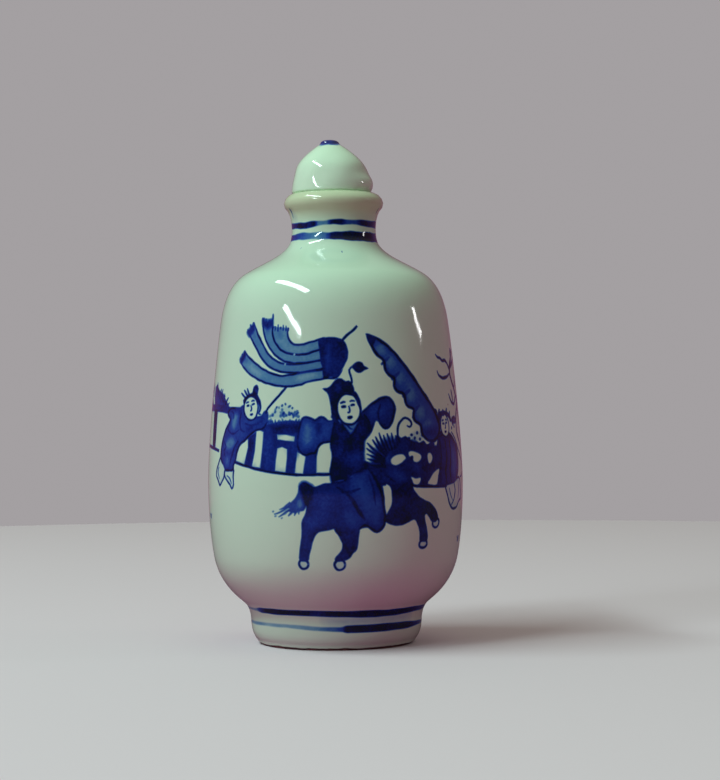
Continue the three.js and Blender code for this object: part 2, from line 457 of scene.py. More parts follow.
def banner(brush):
    brush.line([(-7.4, 39.6), (-8.4, 38.5), (-9.6, 37.4), (-10.6, 36.3), (-10.9, 35.6)], 0.31, OUTLINE,
               start=1, end=0.8)
    brush.line([(1.3, 46.2), (2.6, 47.3), (4.0, 48.4)], 0.36, OUTLINE, start=0.8, end=1)
    lowest = [(-0.8, 40.8), (-3.8, 40.3), (-5.4, 39.8), (-7.5, 39.6), (-9.5, 39.8), (-12.0, 40.4),
              (-14.5, 41.5), (-16.2, 42.6), (-17.1, 43.4)]
    fourth = [(-1.0, 42.1), (-5.4, 41.5), (-7.0, 41.3), (-8.7, 41.2), (-10.9, 41.8), (-12.9, 42.8),
              (-14.8, 43.9), (-16.2, 45.0)]
    third = [(-1.0, 42.3), (-4.6, 41.7), (-6.7, 41.6), (-8.6, 41.8), (-10.6, 42.5), (-12.3, 43.9),
             (-13.9, 45.8), (-15.2, 47.3), (-15.9, 47.9)]
    second = [(-1.2, 43.5), (-5.4, 42.9), (-7.6, 42.9), (-9.4, 43.4), (-10.8, 44.3), (-12.1, 45.8),
              (-13.3, 47.4), (-14.4, 49.1)]
    inner = [(-1.2, 43.6), (-3.8, 43.1), (-6.2, 43.0), (-7.9, 43.3), (-9.6, 44.2), (-11.0, 45.6),
             (-11.9, 47.1), (-12.4, 48.6), (-12.6, 49.8)]
    first = [(-1.4, 45.2), (-4.2, 44.4), (-6.1, 44.3), (-8.0, 44.7), (-9.3, 45.6), (-10.1, 46.7),
             (-10.4, 47.9), (-10.5, 49.6)]
    highest = [(-1.4, 46.7), (-3.9, 46.0), (-5.5, 45.7), (-6.6, 45.9), (-7.4, 46.7), (-7.6, 47.6),
               (-7.4, 48.2)]
    ribbon(brush, fourth, lowest, 0.32)
    ribbon(brush, second, third, 0.35)
    ribbon(brush, first, inner, 0.32)
    ribbon(brush, highest, first[:-1] + [(-10.2, 48.5)], 0.3)
    brush.soft([(-14.6, 43.0), (-12.6, 41.8), (-12.2, 41.0), (-14.4, 42.0)], 0.27, 0.9)
    brush.soft([(-5.4, 41.3), (-2.8, 41.6), (-3.0, 40.8), (-5.6, 40.4)], 0.28, 1.0)
    brush.soft([(-9.4, 47.9), (-8.7, 47.8), (-8.6, 46.8), (-9.4, 47.0)], 0.46, 0.9)
    brush.soft([(-14.7, 47.9), (-14.2, 47.6), (-13.8, 46.9), (-14.2, 46.9)], 0.5, 0.6)
    brush.soft([(-11.7, 48.5), (-11.0, 48.4), (-11.1, 47.6), (-11.6, 47.5)], 0.5, 0.7)
    brush.soft([(-16.2, 43.9), (-15.7, 44.0), (-15.3, 43.4), (-15.8, 43.2)], 0.5, 0.7)
    brush.wash([(-16.0, 47.8), (-15.3, 48.5), (-14.5, 49.1), (-14.1, 48.3), (-14.7, 47.5), (-15.3, 47.0)],
               0.82, bleed=0.5)
    fray(brush, [(-15.8, 48.1), (-15.2, 48.7), (-14.6, 49.2)], 0.5, (-0.4, 0.5))
    brush.wash([(-12.6, 49.7), (-11.8, 49.3), (-11.2, 49.5), (-10.5, 49.6), (-10.4, 48.6), (-11.4, 48.2),
                (-12.4, 48.6)], 0.82, bleed=0.6)
    fray(brush, [(-12.3, 49.6), (-11.8, 49.3), (-11.2, 49.4), (-10.5, 50.0)], 0.8, (0.02, 0.5))
    fray(brush, [(-9.9, 48.2), (-9.4, 48.3), (-8.9, 48.3), (-8.4, 48.3), (-7.9, 48.2), (-7.5, 48.1)], 1.0,
         (-0.05, 0.5), 0.24)
    brush.wash([(-17.3, 43.7), (-16.6, 44.6), (-16.1, 45.0), (-15.7, 44.2), (-16.2, 43.5), (-16.8, 43.1)],
               0.84, bleed=0.5)
    fray(brush, [(-17.0, 43.8), (-16.7, 44.4), (-16.2, 44.9)], 0.4, (-0.5, 0.4))
    for x, z in ((-6.3, 44.3), (-7.8, 42.9)):
        brush.dab(x, z, 0.17, 0.2, 1.5, 1.2)
    head = [(-2.3, 46.5), (-0.7, 46.8), (0.6, 46.7), (1.5, 46.4), (2.1, 45.7), (2.4, 44.7), (2.3, 43.7),
            (1.8, 42.7), (1.1, 41.6), (0.5, 40.9), (-0.4, 40.9), (-1.5, 40.9), (-1.7, 42.2), (-2.0, 43.4),
            (-2.2, 44.9)]
    brush.wash(head, 0.86, 0.82)
    brush.soft([(-0.9, 45.6), (-0.4, 45.6), (-0.5, 43.6), (-0.7, 42.0), (-1.1, 42.0), (-1.2, 43.6)], 0.72,
               0.7)
    brush.soft([(1.0, 45.9), (1.8, 45.0), (1.7, 43.6), (1.0, 43.6)], 0.9, 0.8)
    brush.line([(-1.6, 40.9), (-0.6, 40.7), (0.6, 40.9), (1.4, 41.9)], 0.28, OUTLINE, start=1)


# The long leaf-shaped flag beside it has a scalloped edge, and a wash that pools along
# each lobe.


def leaf_flag(brush):
    lobes = [(5.6, 47.0), (6.1, 45.8), (7.1, 44.2), (8.2, 43.3), (8.4, 42.0), (9.0, 41.2), (9.9, 40.7),
             (9.8, 39.6), (10.3, 38.8), (11.5, 38.3), (11.7, 37.2), (12.2, 36.5), (13.2, 36.1),
             (13.1, 34.9), (13.6, 34.2), (14.4, 33.8), (14.6, 32.7), (15.1, 31.9), (16.0, 31.4)]
    back = [(5.6, 47.0), (6.9, 46.7), (8.4, 45.9), (9.7, 44.9), (10.9, 43.7), (12.3, 42.2), (13.8, 40.5),
            (15.3, 38.7), (17.0, 36.8), (18.2, 35.2), (18.9, 33.6), (18.6, 32.4), (17.4, 31.4),
            (16.0, 31.4)]
    lobe_line, back_line = smooth_line(brush.at(lobes)), smooth_line(brush.at(back))
    lay_wash(np.concatenate([back_line, lobe_line[::-1]]), 0.72, 0.56, 0.6, smooth=False)
    for x, z in [(7.3, 44.9), (8.8, 43.0), (10.5, 40.7), (12.3, 38.1), (14.0, 35.6), (15.6, 33.3)]:
        brush.soft([(x - 0.5, z + 0.4), (x + 1.0, z + 0.9), (x + 1.2, z - 0.3), (x + 0.2, z - 0.8)], 0.46,
                   1.0)
    brush.soft([(15.2, 33.0), (16.6, 33.4), (18.2, 33.2), (17.8, 31.9), (16.0, 31.8)], 0.82, 1.3)
    for x, z in [(8.1, 43.4), (9.8, 41.2), (11.6, 38.6), (13.3, 36.2)]:
        brush.line([(x - 0.4, z - 0.7), (x + 0.4, z - 0.1), (x + 1.2, z + 0.5)], 0.5, 0.72)
    brush.line(lobes, 0.46, OUTLINE, start=0.7, end=0.8)
    brush.line(back, 0.5, OUTLINE, start=0.6, end=0.8)
    brush.wash([(5.3, 47.3), (6.0, 47.2), (7.0, 46.7), (6.5, 45.6), (5.9, 46.0), (5.6, 46.8)], 0.92)


# The attendants on foot wear long robes and white boots, with their hair in knots. Every
# face is the same plain oval with a few touches of the tip for its features.


def face(brush, edge):
    """A face about the brush's own place, 3.2 across and 4.1 tall at full size."""
    brush.shape(brush.oval(0, 0, 1.6, 2.05, count=12), BARE, BARE, edge)
    for side in (-1, 1):
        brush.line([(side * 1.0, 0.92), (side * 0.6, 1.04), (side * 0.3, 0.94)], 0.26, 0.86, start=0.7,
                   end=0.6)
        brush.line([(side * 0.95, 0.42), (side * 0.6, 0.46), (side * 0.3, 0.38)], 0.32, OUTLINE, start=0.6,
                   end=0.6)
    brush.line([(0.06, 0.4), (0.18, -0.2), (0.02, -0.46), (-0.16, -0.42)], 0.22, OUTLINE, start=0.7,
               end=0.8)
    brush.line([(-0.34, -1.1), (0, -1.15), (0.34, -1.08)], 0.4, OUTLINE, start=0.6, end=0.5)


def boot(brush, places, sole):
    brush.shape(places, 0.12, BARE, 0.26)
    brush.line(sole, 0.2, 0.8)


def attendant(brush):
    """One running with an arm out to each side, laid out as the one at the left."""
    boot(brush,
         [(-21.1, 29.0), (-21.8, 28.1), (-22.4, 27.2), (-22.6, 26.3), (-21.9, 25.6), (-21.2, 24.8),
          (-20.6, 25.3), (-20.0, 25.9), (-19.7, 26.6), (-19.4, 27.4), (-20.1, 28.3)],
         [(-21.6, 27.6), (-21.9, 26.8), (-21.3, 25.7)])
    boot(brush,
         [(-19.3, 27.4), (-19.7, 26.4), (-18.9, 25.6), (-18.1, 25.0), (-17.6, 24.4), (-17.2, 25.0),
          (-17.3, 26.2), (-17.3, 27.4)],
         [(-19.0, 26.3), (-18.2, 25.9), (-17.7, 25.1)])
    robe = [(-15.6, 36.9), (-16.3, 36.6), (-17.5, 36.5), (-18.9, 36.3), (-19.4, 35.5), (-18.7, 34.8),
            (-19.0, 34.2), (-19.8, 33.3), (-20.3, 32.4), (-20.8, 31.2), (-21.1, 30.0), (-21.1, 29.0),
            (-20.4, 28.1), (-19.4, 27.1), (-17.5, 27.2), (-17.3, 27.9), (-16.8, 28.8), (-16.6, 29.7),
            (-15.9, 30.9), (-14.9, 31.6), (-14.1, 32.2), (-12.7, 33.1), (-11.4, 33.4), (-10.9, 34.0),
            (-10.5, 34.5), (-10.4, 35.4), (-10.7, 36.1), (-11.3, 35.9), (-11.8, 35.3), (-12.8, 35.2),
            (-13.6, 35.4), (-14.4, 35.6), (-14.8, 36.2)]
    brush.wash(robe, 0.76, 0.66, 0.6)
    brush.soft([(-17.5, 35.6), (-16.8, 35.3), (-17.1, 33.9), (-17.7, 33.2), (-18.2, 34.2)], 0.4, 0.8)
    brush.soft([(-19.8, 30.8), (-18.7, 30.2), (-17.6, 30.6), (-17.1, 31.5), (-18.0, 32.1), (-19.2, 31.6)],
               0.42, 0.9)
    brush.soft([(-19.7, 29.0), (-18.6, 29.2), (-18.6, 28.0), (-19.3, 27.8)], 0.5, 0.8)
    brush.soft([(-14.6, 33.6), (-12.6, 34.2), (-11.4, 34.9), (-11.3, 34.2), (-12.7, 33.6), (-14.4, 32.8)],
               0.82, 0.8)
    brush.line(robe[2:13], 0.3, OUTLINE, end=0.8)
    brush.line(robe[13:25], 0.3, OUTLINE, start=0.8)
    brush.line([(-16.1, 33.3), (-17.2, 32.7), (-18.3, 32.7), (-19.2, 33.3), (-18.9, 33.9), (-18.4, 34.4)],
               0.26, 0.86)
    brush.line([(-20.2, 31.5), (-19.5, 30.6), (-20.1, 30.0), (-19.6, 29.0)], 0.28, 0.86)
    brush.line([(-16.4, 31.6), (-17.2, 30.6), (-17.8, 29.3), (-18.3, 27.8)], 0.3, 0.86)
    brush.line([(-15.9, 35.8), (-16.2, 34.4), (-15.8, 33.2), (-14.8, 32.9)], 0.28, 0.88)
    brush.line([(-15.0, 34.2), (-13.8, 33.9), (-12.4, 34.1), (-11.4, 34.6)], 0.26, 0.88)
    brush.line([(-18.6, 36.0), (-17.8, 35.6), (-17.9, 34.8)], 0.3, 0.84)
    face(brush.held(-13.9, 36.5, 0.92, 12), 0.28)
    hair = [(-15.4, 36.9), (-15.7, 37.6), (-15.1, 38.1), (-14.5, 38.5), (-13.8, 38.7), (-13.5, 39.6),
            (-12.9, 39.9), (-12.5, 39.3), (-12.6, 38.5), (-12.3, 37.9), (-11.9, 37.2), (-12.0, 36.4),
            (-12.4, 37.1), (-12.9, 37.7), (-14.0, 38.1), (-14.8, 37.7)]
    brush.wash(hair, 0.92)
    brush.soft([(-13.2, 39.0), (-12.9, 39.3), (-12.8, 38.8)], 0.7, 0.5)
    tufts = [
        [(-15.1, 37.9), (-15.8, 38.4), (-16.2, 38.7)],
        [(-14.7, 38.2), (-15.3, 38.9), (-15.6, 39.1)],
        [(-14.3, 38.4), (-14.7, 39.0), (-14.9, 39.4)],
    ]
    for tuft in tufts:
        brush.line(tuft, 0.3, 0.88, start=1, end=0.4)
    brush.line([(-12.3, 37.6), (-12.0, 36.8), (-12.0, 36.1), (-12.2, 35.6), (-11.8, 35.5)], 0.34, 0.9)


def far_attendant(brush):
    """The one at the right, half hidden by the flag and the horse's head."""
    boots = [(19.9, 24.6), (20.4, 23.2), (21.2, 21.8), (22.4, 21.0), (24.0, 21.2), (25.2, 22.0),
             (26.5, 22.4), (26.3, 23.8), (25.4, 25.6), (22.6, 25.2)]
    brush.shape(boots, 0.14, 0.04, 0.28)
    brush.line([(22.7, 25.1), (23.2, 23.8), (22.8, 22.4), (21.8, 21.6)], 0.28, 0.86)
    brush.line([(24.6, 25.4), (25.0, 23.8), (24.6, 22.4)], 0.22, 0.8)
    brush.line([(21.0, 24.2), (21.6, 23.0), (22.4, 22.2)], 0.18, 0.7)
    brush.line([(22.7, 32.6), (24.3, 31.4), (25.9, 29.5), (27.8, 27.9), (28.2, 26.6), (27.0, 25.8),
                (26.0, 25.8)], 0.3, OUTLINE)
    robe = [(18.4, 32.2), (19.6, 32.8), (21.8, 32.6), (23.8, 31.4), (25.2, 29.9), (24.9, 27.6),
            (23.8, 25.3), (21.1, 24.7), (18.4, 24.5), (16.9, 25.6), (17.4, 29.0)]
    brush.wash(robe, 0.86, 0.8)
    brush.soft([(22.4, 31.2), (23.8, 29.9), (24.2, 27.6), (23.2, 26.0), (22.0, 27.0), (22.0, 29.9)], 0.58,
               1.2)
    brush.line([(18.7, 32.0), (20.6, 32.4), (22.6, 32.0), (24.4, 30.4), (25.2, 28.6), (24.8, 26.6),
                (23.8, 25.2)], 0.3, OUTLINE)
    for x in (18.6, 20.2, 21.6):
        brush.line([(x, 31.6), (x + 0.3, 29.0), (x - 0.2, 26.8), (x + 0.1, 25.0)], 0.34, OUTLINE)
    face(brush.held(20.6, 33.6, 0.84, 4), 0.26)
    brush.wash([(18.5, 34.2), (18.7, 35.3), (19.8, 35.8), (21.4, 35.7), (22.6, 35.2), (23.2, 34.2),
                (22.6, 34.3), (21.5, 35.1), (20.2, 35.2), (19.3, 34.6), (18.9, 33.2)], 0.9, 0.84)
    tufts = [(18.2, 33.6, 35.6), (19.1, 34.6, 36.1), (20.3, 35.0, 36.0), (21.5, 35.0, 36.2),
             (22.6, 34.2, 35.8), (23.6, 33.6, 34.9)]
    for x, low, high in tufts:
        brush.line([(x + 0.1, low), (x - 0.15, (low + high) / 2), (x + 0.1, high)], 0.5, 0.88, start=0.8,
                   end=0.5)
    for x, z in ((23.0, 33.2), (24.2, 33.4)):
        brush.dab(x, z, 0.2, 0.8, 1.3, x)
    brush.shape(brush.oval(24.3, 34.4, 0.9, 0.4), 0.7, 0.6, 0.4, 0.92)
    brush.shape(brush.oval(17.9, 35.4, 0.55, 0.5), 0.3, 0.2, 0.42, 0.92)


# The horse gallops to the right, washed almost solid, with white hooves, a mane of
# separate pulls of the brush and a curl of hair over its brow.


def hoof(brush, x, z, wide, tall):
    brush.shape(brush.oval(x, z, wide, tall), 0.12, 0.04, 0.32, 0.95)


def horse(brush):
    hooves = [(-4.8, 13.5, 0.74, 0.7), (0.8, 13.4, 0.82, 0.78), (14.8, 16.1, 0.8, 0.62),
              (17.4, 19.1, 0.8, 0.72)]
    for x, z, wide, tall in hooves:
        hoof(brush, x, z, wide, tall)
    brush.wash([(0.1, 18.9), (0.7, 17.5), (1.2, 16.6), (1.1, 15.7), (0.6, 14.9), (0.0, 14.3), (0.4, 13.9),
                (0.9, 13.9), (1.5, 14.0), (2.3, 14.4), (2.9, 15.1), (3.4, 15.7), (3.6, 17.0), (3.5, 19.0)],
               0.9, 0.88)
    tail = [(-5.1, 25.2), (-5.4, 24.0), (-5.9, 23.1), (-6.7, 22.4), (-7.0, 21.8), (-6.6, 21.6),
            (-7.2, 21.2), (-6.5, 21.2), (-5.9, 21.0), (-5.1, 21.3), (-4.5, 21.4), (-4.1, 22.1),
            (-4.0, 23.3), (-3.9, 24.6)]
    brush.wash(tail, 0.72, 0.62)
    brush.soft([(-5.3, 22.9), (-4.7, 22.8), (-4.8, 21.9), (-5.4, 21.9)], 0.42, 0.7)
    wisps = [
        ((-6.4, 22.2), (-8.3, 21.1), (-9.3, 20.8)),
        ((-6.2, 21.8), (-7.7, 20.9), (-8.6, 20.4)),
        ((-5.9, 21.6), (-6.6, 20.9), (-7.0, 20.5)),
        ((-5.4, 21.6), (-5.9, 20.9), (-6.0, 20.6)),
        ((-4.9, 21.7), (-5.3, 21.1), (-5.2, 20.8)),
        ((-6.6, 22.6), (-7.6, 21.8), (-8.4, 21.5)),
    ]
    for wisp in wisps:
        brush.line(wisp, 0.3, 0.66, start=1, end=0.25)
    for x, z in ((-9.4, 21.2), (-9.0, 20.5), (-8.0, 20.3), (-7.4, 20.9)):
        brush.dab(x, z, 0.13, 0.4, 1.6, 0.5)
    body = [(-3.9, 24.6), (-2.8, 24.9), (-1.6, 25.3), (-0.3, 25.5), (1.4, 25.8), (4.0, 26.6), (7.0, 25.8),
            (7.6, 20.4), (6.9, 19.1), (4.6, 18.8), (3.0, 18.5), (1.4, 18.3), (0.2, 18.7), (-1.0, 18.5),
            (-2.3, 18.2), (-2.9, 17.6), (-3.4, 16.3), (-3.8, 14.8), (-4.1, 14.0), (-5.4, 14.1),
            (-5.3, 15.8), (-4.9, 17.6), (-4.9, 19.6), (-4.4, 20.7), (-4.1, 21.9), (-4.0, 23.3)]
    brush.wash(body, 0.86, 0.8)
    brush.wash([(-5.2, 25.0), (-4.8, 25.6), (-4.2, 25.7), (-3.6, 25.4), (-2.9, 24.9), (-3.2, 23.6),
                (-3.9, 22.2), (-4.5, 22.4), (-4.9, 23.8)], 0.93, 0.91, bleed=0.5)
    brush.soft([(-3.6, 21.0), (-2.2, 23.0), (-1.0, 23.2), (-0.8, 20.8), (-2.6, 19.2), (-3.8, 18.6)], 0.74,
               1.6)
    chest = [(6.9, 25.8), (8.4, 24.9), (8.8, 23.4), (8.6, 21.9), (8.0, 20.8), (7.5, 20.0), (8.2, 19.4),
             (9.4, 19.0), (10.8, 19.1), (11.8, 19.5), (12.8, 19.8), (13.3, 19.2), (13.9, 17.9),
             (14.0, 16.6), (14.6, 16.4), (15.6, 16.5), (15.6, 17.6), (15.2, 18.9), (14.8, 20.2),
             (15.2, 20.5), (15.9, 19.9), (16.4, 19.3), (17.4, 19.3), (17.9, 20.0), (17.3, 21.1),
             (16.2, 22.0), (14.8, 22.6), (13.8, 23.1), (12.9, 23.9), (12.3, 24.9), (12.0, 26.4),
             (10.0, 28.0), (7.0, 28.4)]
    brush.wash(chest, 0.93, 0.9)
    brush.wash([(12.0, 24.9), (14.6, 24.6), (17.6, 24.5), (18.8, 24.5), (18.8, 30.6), (14.0, 30.8),
                (11.0, 27.0)], 0.88, 0.84, smooth=False)
    head = [(5.4, 28.0), (6.1, 27.2), (7.3, 26.4), (8.4, 25.2), (12.2, 24.9), (12.5, 26.4), (13.4, 27.4),
            (14.4, 27.2), (15.4, 26.6), (16.4, 27.3), (16.9, 28.4), (17.0, 29.8), (17.3, 30.9),
            (16.5, 31.2), (15.6, 30.8), (14.8, 31.4), (13.9, 31.1), (13.1, 31.8), (12.2, 31.6),
            (11.4, 32.2), (10.6, 31.9), (9.8, 32.3), (9.1, 31.2), (8.2, 30.3), (7.2, 29.4), (6.2, 28.9)]
    brush.wash(head, 0.9, 0.84)
    brush.wash([(4.4, 28.6), (5.1, 28.5), (6.0, 27.9), (7.0, 27.2), (8.0, 26.4), (7.8, 25.0), (6.4, 25.2),
                (5.0, 26.6)], 0.88)
    brush.soft([(8.6, 27.4), (10.4, 27.2), (11.6, 26.4), (10.6, 25.6), (8.8, 26.2)], 0.74, 1.2)
    brush.soft([(12.6, 28.0), (14.2, 27.8), (13.6, 27.0), (12.8, 26.9)], 0.74, 0.8)
    brush.soft([(7.2, 29.2), (8.2, 29.8), (8.4, 28.6), (7.4, 28.2)], 0.68, 0.9)
    slots = [
        [(12.1, 26.1), (12.9, 25.9), (13.8, 26.0), (14.0, 25.6), (13.6, 25.0), (12.6, 25.0), (12.3, 25.5)],
        [(18.1, 27.2), (17.9, 26.1), (17.5, 24.9), (16.4, 24.8), (15.4, 25.0), (15.8, 25.7), (16.7, 26.5)],
    ]
    patches = [
        [(8.7, 28.8), (9.4, 29.3), (10.2, 29.5), (10.9, 29.4), (11.3, 28.9), (10.9, 28.5), (10.2, 28.1),
         (9.5, 27.9), (8.8, 28.1)],
        [(11.8, 29.8), (12.6, 29.9), (13.6, 29.6), (14.2, 29.2), (14.0, 28.6), (13.3, 28.2), (12.7, 28.4),
         (12.5, 28.8), (11.9, 29.2)],
        [(15.7, 29.5), (16.2, 29.6), (16.6, 29.1), (16.5, 28.5), (16.1, 28.0), (15.7, 28.1), (15.5, 28.9)],
    ]
    for bare in slots + patches:
        brush.wash(bare, BARE, bleed=0.26)
    brush.dab(12.3, 28.9, 0.28, 0.88, 1.4, 0.8)
    brush.line([(12.2, 24.8), (14.6, 24.6), (17.6, 24.5), (20.2, 24.4)], 0.3, OUTLINE, start=1)
    brush.wash([(12.0, 31.9), (12.6, 32.6), (13.8, 32.9), (14.6, 32.3), (14.6, 31.4), (13.2, 31.4)], 0.14,
               0.1, bleed=0.5)
    for x, z in ((12.5, 32.3), (13.6, 32.6), (13.1, 31.8), (14.1, 31.7), (14.6, 32.2), (12.0, 31.8)):
        brush.dab(x, z, 0.2, 0.86, 1.2, x)
    brush.line([(10.3, 31.2), (10.0, 32.4), (10.2, 33.8), (10.8, 34.5), (11.5, 34.8), (12.3, 34.5),
                (12.6, 33.9), (12.2, 33.5), (11.7, 33.7)], 0.3, OUTLINE, start=1)
    brush.wash([(5.4, 27.8), (5.8, 29.2), (6.5, 30.6), (7.5, 31.5), (8.8, 32.0), (9.6, 31.2), (8.4, 29.4),
                (7.0, 28.4)], 0.72, 0.66, bleed=0.9)
    spikes = [
        ((7.9, 27.7), (6.4, 27.8), (5.2, 28.0)),
        ((7.8, 28.0), (6.4, 28.5), (5.0, 28.9)),
        ((7.8, 28.3), (6.4, 29.0), (4.9, 29.6)),
        ((7.8, 28.5), (6.4, 29.4), (4.9, 30.4)),
        ((7.8, 28.8), (6.4, 29.9), (5.0, 31.2)),
        ((8.0, 29.1), (6.8, 30.4), (5.8, 31.7)),
        ((8.1, 29.3), (7.0, 30.8), (6.3, 32.2)),
        ((8.3, 29.6), (7.4, 31.2), (6.9, 32.7)),
        ((8.6, 29.9), (7.9, 31.4), (7.6, 32.4)),
        ((9.0, 30.1), (8.6, 31.4), (8.2, 32.6)),
        ((9.5, 30.2), (9.2, 31.3), (8.9, 32.7)),
        ((9.9, 30.8), (9.8, 31.6), (9.6, 32.3)),
    ]
    for spike in spikes:
        brush.line(spike, 0.4, 0.92, start=1, end=0.3)
    brush.line([(6.4, 25.4), (7.6, 26.4), (8.6, 25.9), (9.4, 25.4)], 0.3, 0.95)


# The rider sits with both arms flung wide in long sleeves, in a dark robe and a soft
# cap with a pompom on a curved stem.


def rider(brush):
    skirt = [(-0.2, 25.2), (1.4, 25.6), (2.5, 26.3), (3.7, 27.2), (5.0, 27.6), (6.0, 26.2), (6.7, 24.9),
             (7.2, 23.6), (7.5, 21.8), (7.7, 20.3), (7.4, 18.9), (6.4, 18.2), (5.5, 18.7), (4.6, 19.2),
             (3.6, 18.6), (2.1, 18.6), (1.2, 20.4), (0.4, 22.8)]
    brush.wash(skirt, 0.82, 0.74, 0.7, bleed=0.5)
    brush.soft([(3.0, 25.8), (4.4, 26.2), (5.0, 24.6), (5.4, 22.4), (5.2, 20.6), (4.4, 21.6), (3.6, 23.4)],
               0.62, 1.4)
    brush.soft([(2.2, 21.8), (3.2, 20.8), (3.4, 19.4), (2.2, 19.2), (1.6, 20.6)], 0.66, 1.2)
    brush.soft([(6.2, 23.4), (6.8, 22.0), (6.9, 20.2), (6.0, 19.4), (5.6, 21.0)], 0.64, 1.0)
    brush.line(skirt[4:15], 0.4, OUTLINE)
    brush.line([(1.9, 23.8), (2.7, 22.9), (3.6, 21.4), (4.6, 19.9)], 0.6, 0.92)
    brush.line([(0.4, 24.9), (1.4, 24.1), (2.5, 24.1), (3.9, 24.6)], 0.5, 0.88)
    brush.line([(5.2, 26.6), (5.9, 24.2), (6.2, 22.0)], 0.34, 0.88)
    left_sleeve = [(0.2, 34.6), (-0.7, 34.4), (-1.5, 35.0), (-2.2, 35.0), (-2.8, 34.6), (-3.4, 34.9),
                   (-4.2, 35.1), (-4.8, 34.9), (-5.1, 34.1), (-5.3, 32.8), (-5.5, 31.2), (-5.1, 30.2),
                   (-4.6, 29.6), (-4.0, 29.5), (-3.4, 29.8), (-2.7, 29.9), (-2.4, 30.6), (-1.8, 31.2),
                   (-1.0, 31.4), (0.2, 31.5)]
    brush.wash(left_sleeve, 0.78, 0.68, 0.6)
    brush.soft([(-4.5, 34.2), (-3.5, 34.0), (-3.2, 32.4), (-3.6, 31.0), (-4.4, 31.2), (-4.8, 32.6)], 0.5,
               1.3)
    brush.soft([(-2.4, 34.4), (-1.9, 34.2), (-2.0, 32.6), (-2.5, 32.4)], 0.84, 0.7)
    brush.soft([(-1.4, 33.8), (-0.6, 33.8), (-0.6, 32.2), (-1.4, 32.2)], 0.66, 0.9)
    brush.line(left_sleeve[:13], 0.3, 0.9)
    brush.line(left_sleeve[12:], 0.3, OUTLINE)
    right_sleeve = [(3.6, 35.4), (4.3, 35.7), (5.4, 36.5), (6.4, 37.2), (7.5, 37.8), (8.4, 37.9),
                    (9.2, 37.5), (9.7, 36.5), (9.5, 35.3), (9.0, 34.1), (8.3, 33.4), (7.6, 33.5),
                    (7.0, 34.2), (6.5, 34.5), (6.2, 33.8), (5.9, 33.0), (5.2, 32.1), (4.4, 31.6),
                    (3.0, 33.6)]
    brush.wash(right_sleeve, 0.86, 0.8, 0.6)
    brush.soft([(6.2, 36.4), (7.4, 37.0), (7.6, 35.8), (6.6, 35.2), (5.4, 35.0)], 0.74, 1.0)
    brush.line([(7.3, 36.9), (6.9, 35.6), (7.1, 34.4)], 0.34, OUTLINE)
    brush.line([(4.6, 35.4), (5.4, 34.2), (5.6, 33.0)], 0.34, OUTLINE)
    brush.line(right_sleeve[1:13], 0.38, OUTLINE)
    coat = [(0.0, 35.0), (0.5, 35.2), (0.9, 34.4), (1.5, 34.0), (2.3, 33.9), (3.3, 34.0), (3.9, 34.7),
            (4.2, 35.3), (5.0, 34.6), (5.8, 33.2), (5.1, 32.0), (4.7, 31.5), (4.6, 30.2), (4.6, 28.8),
            (5.0, 27.6), (4.2, 27.0), (3.0, 26.6), (2.0, 25.9), (0.8, 25.7), (-0.4, 25.5), (-0.6, 26.7),
            (-0.3, 28.0), (-0.1, 29.4), (-0.5, 30.7), (-0.2, 31.9), (0.0, 33.1)]
    brush.wash(coat, 0.93, 0.9, bleed=0.4)
    brush.soft([(2.6, 29.6), (4.0, 29.8), (4.2, 28.4), (3.2, 27.4), (2.4, 28.2)], 0.78, 1.3)
    brush.soft([(0.6, 32.8), (1.4, 32.6), (1.2, 30.4), (0.5, 30.4)], 0.82, 1.0)
    brush.soft([(1.9, 31.8), (2.9, 31.6), (2.7, 30.0), (1.8, 30.2)], 0.97, 1.0)
    brush.line([(0.2, 34.8), (-0.1, 33.0), (-0.4, 31.0), (-0.1, 29.4), (-0.5, 27.1), (-0.3, 25.8)], 0.34,
               0.96)
    brush.wash([(1.2, 34.5), (1.7, 33.6), (2.5, 32.6), (3.2, 33.4), (3.7, 34.4), (2.6, 34.8)], 0.5, 0.34,
               bleed=0.4)
    brush.line([(1.1, 34.3), (1.8, 33.2), (2.5, 32.3), (3.2, 33.1), (3.7, 34.1)], 0.32, 0.96)
    brush.line([(1.8, 34.2), (2.4, 33.4), (2.9, 33.3)], 0.24, 0.9)
    brush.wash([(-0.5, 38.2), (-0.4, 36.8), (-0.2, 35.3), (0.3, 34.7), (1.2, 34.9), (1.4, 36.4),
                (1.8, 38.4), (0.8, 38.8)], 0.93)
    face(brush.held(2.3, 36.2, 1.12, 8), 0.28)
    cap = [(-1.7, 39.2), (-1.0, 39.3), (-0.4, 39.6), (0.0, 40.2), (0.6, 40.7), (1.3, 40.7), (1.9, 40.3),
           (2.4, 40.4), (2.9, 39.9), (3.2, 39.0), (2.7, 38.7), (2.0, 38.6), (1.3, 38.4), (0.8, 38.0),
           (0.4, 37.3), (0.1, 36.6), (0.2, 35.6), (-0.1, 35.4), (-0.3, 36.1), (-0.5, 37.1), (-0.7, 38.0),
           (-1.0, 38.7)]
    brush.wash(cap, 0.93, 0.9)
    brush.soft([(0.4, 39.6), (1.2, 39.8), (1.4, 39.2), (0.5, 38.8)], 0.8, 0.8)
    brush.line([(2.3, 38.9), (3.0, 38.6), (3.6, 37.9), (4.0, 36.9), (4.2, 36.0)], 0.56, 0.95, start=1,
               end=0.3)
    brush.line([(0.1, 35.9), (-0.2, 35.1), (0.2, 34.6)], 0.4, 0.9)
    brush.line([(2.4, 39.4), (2.9, 40.1), (2.7, 41.1), (2.5, 41.9), (2.9, 42.4)], 0.27, OUTLINE, start=1,
               end=1)
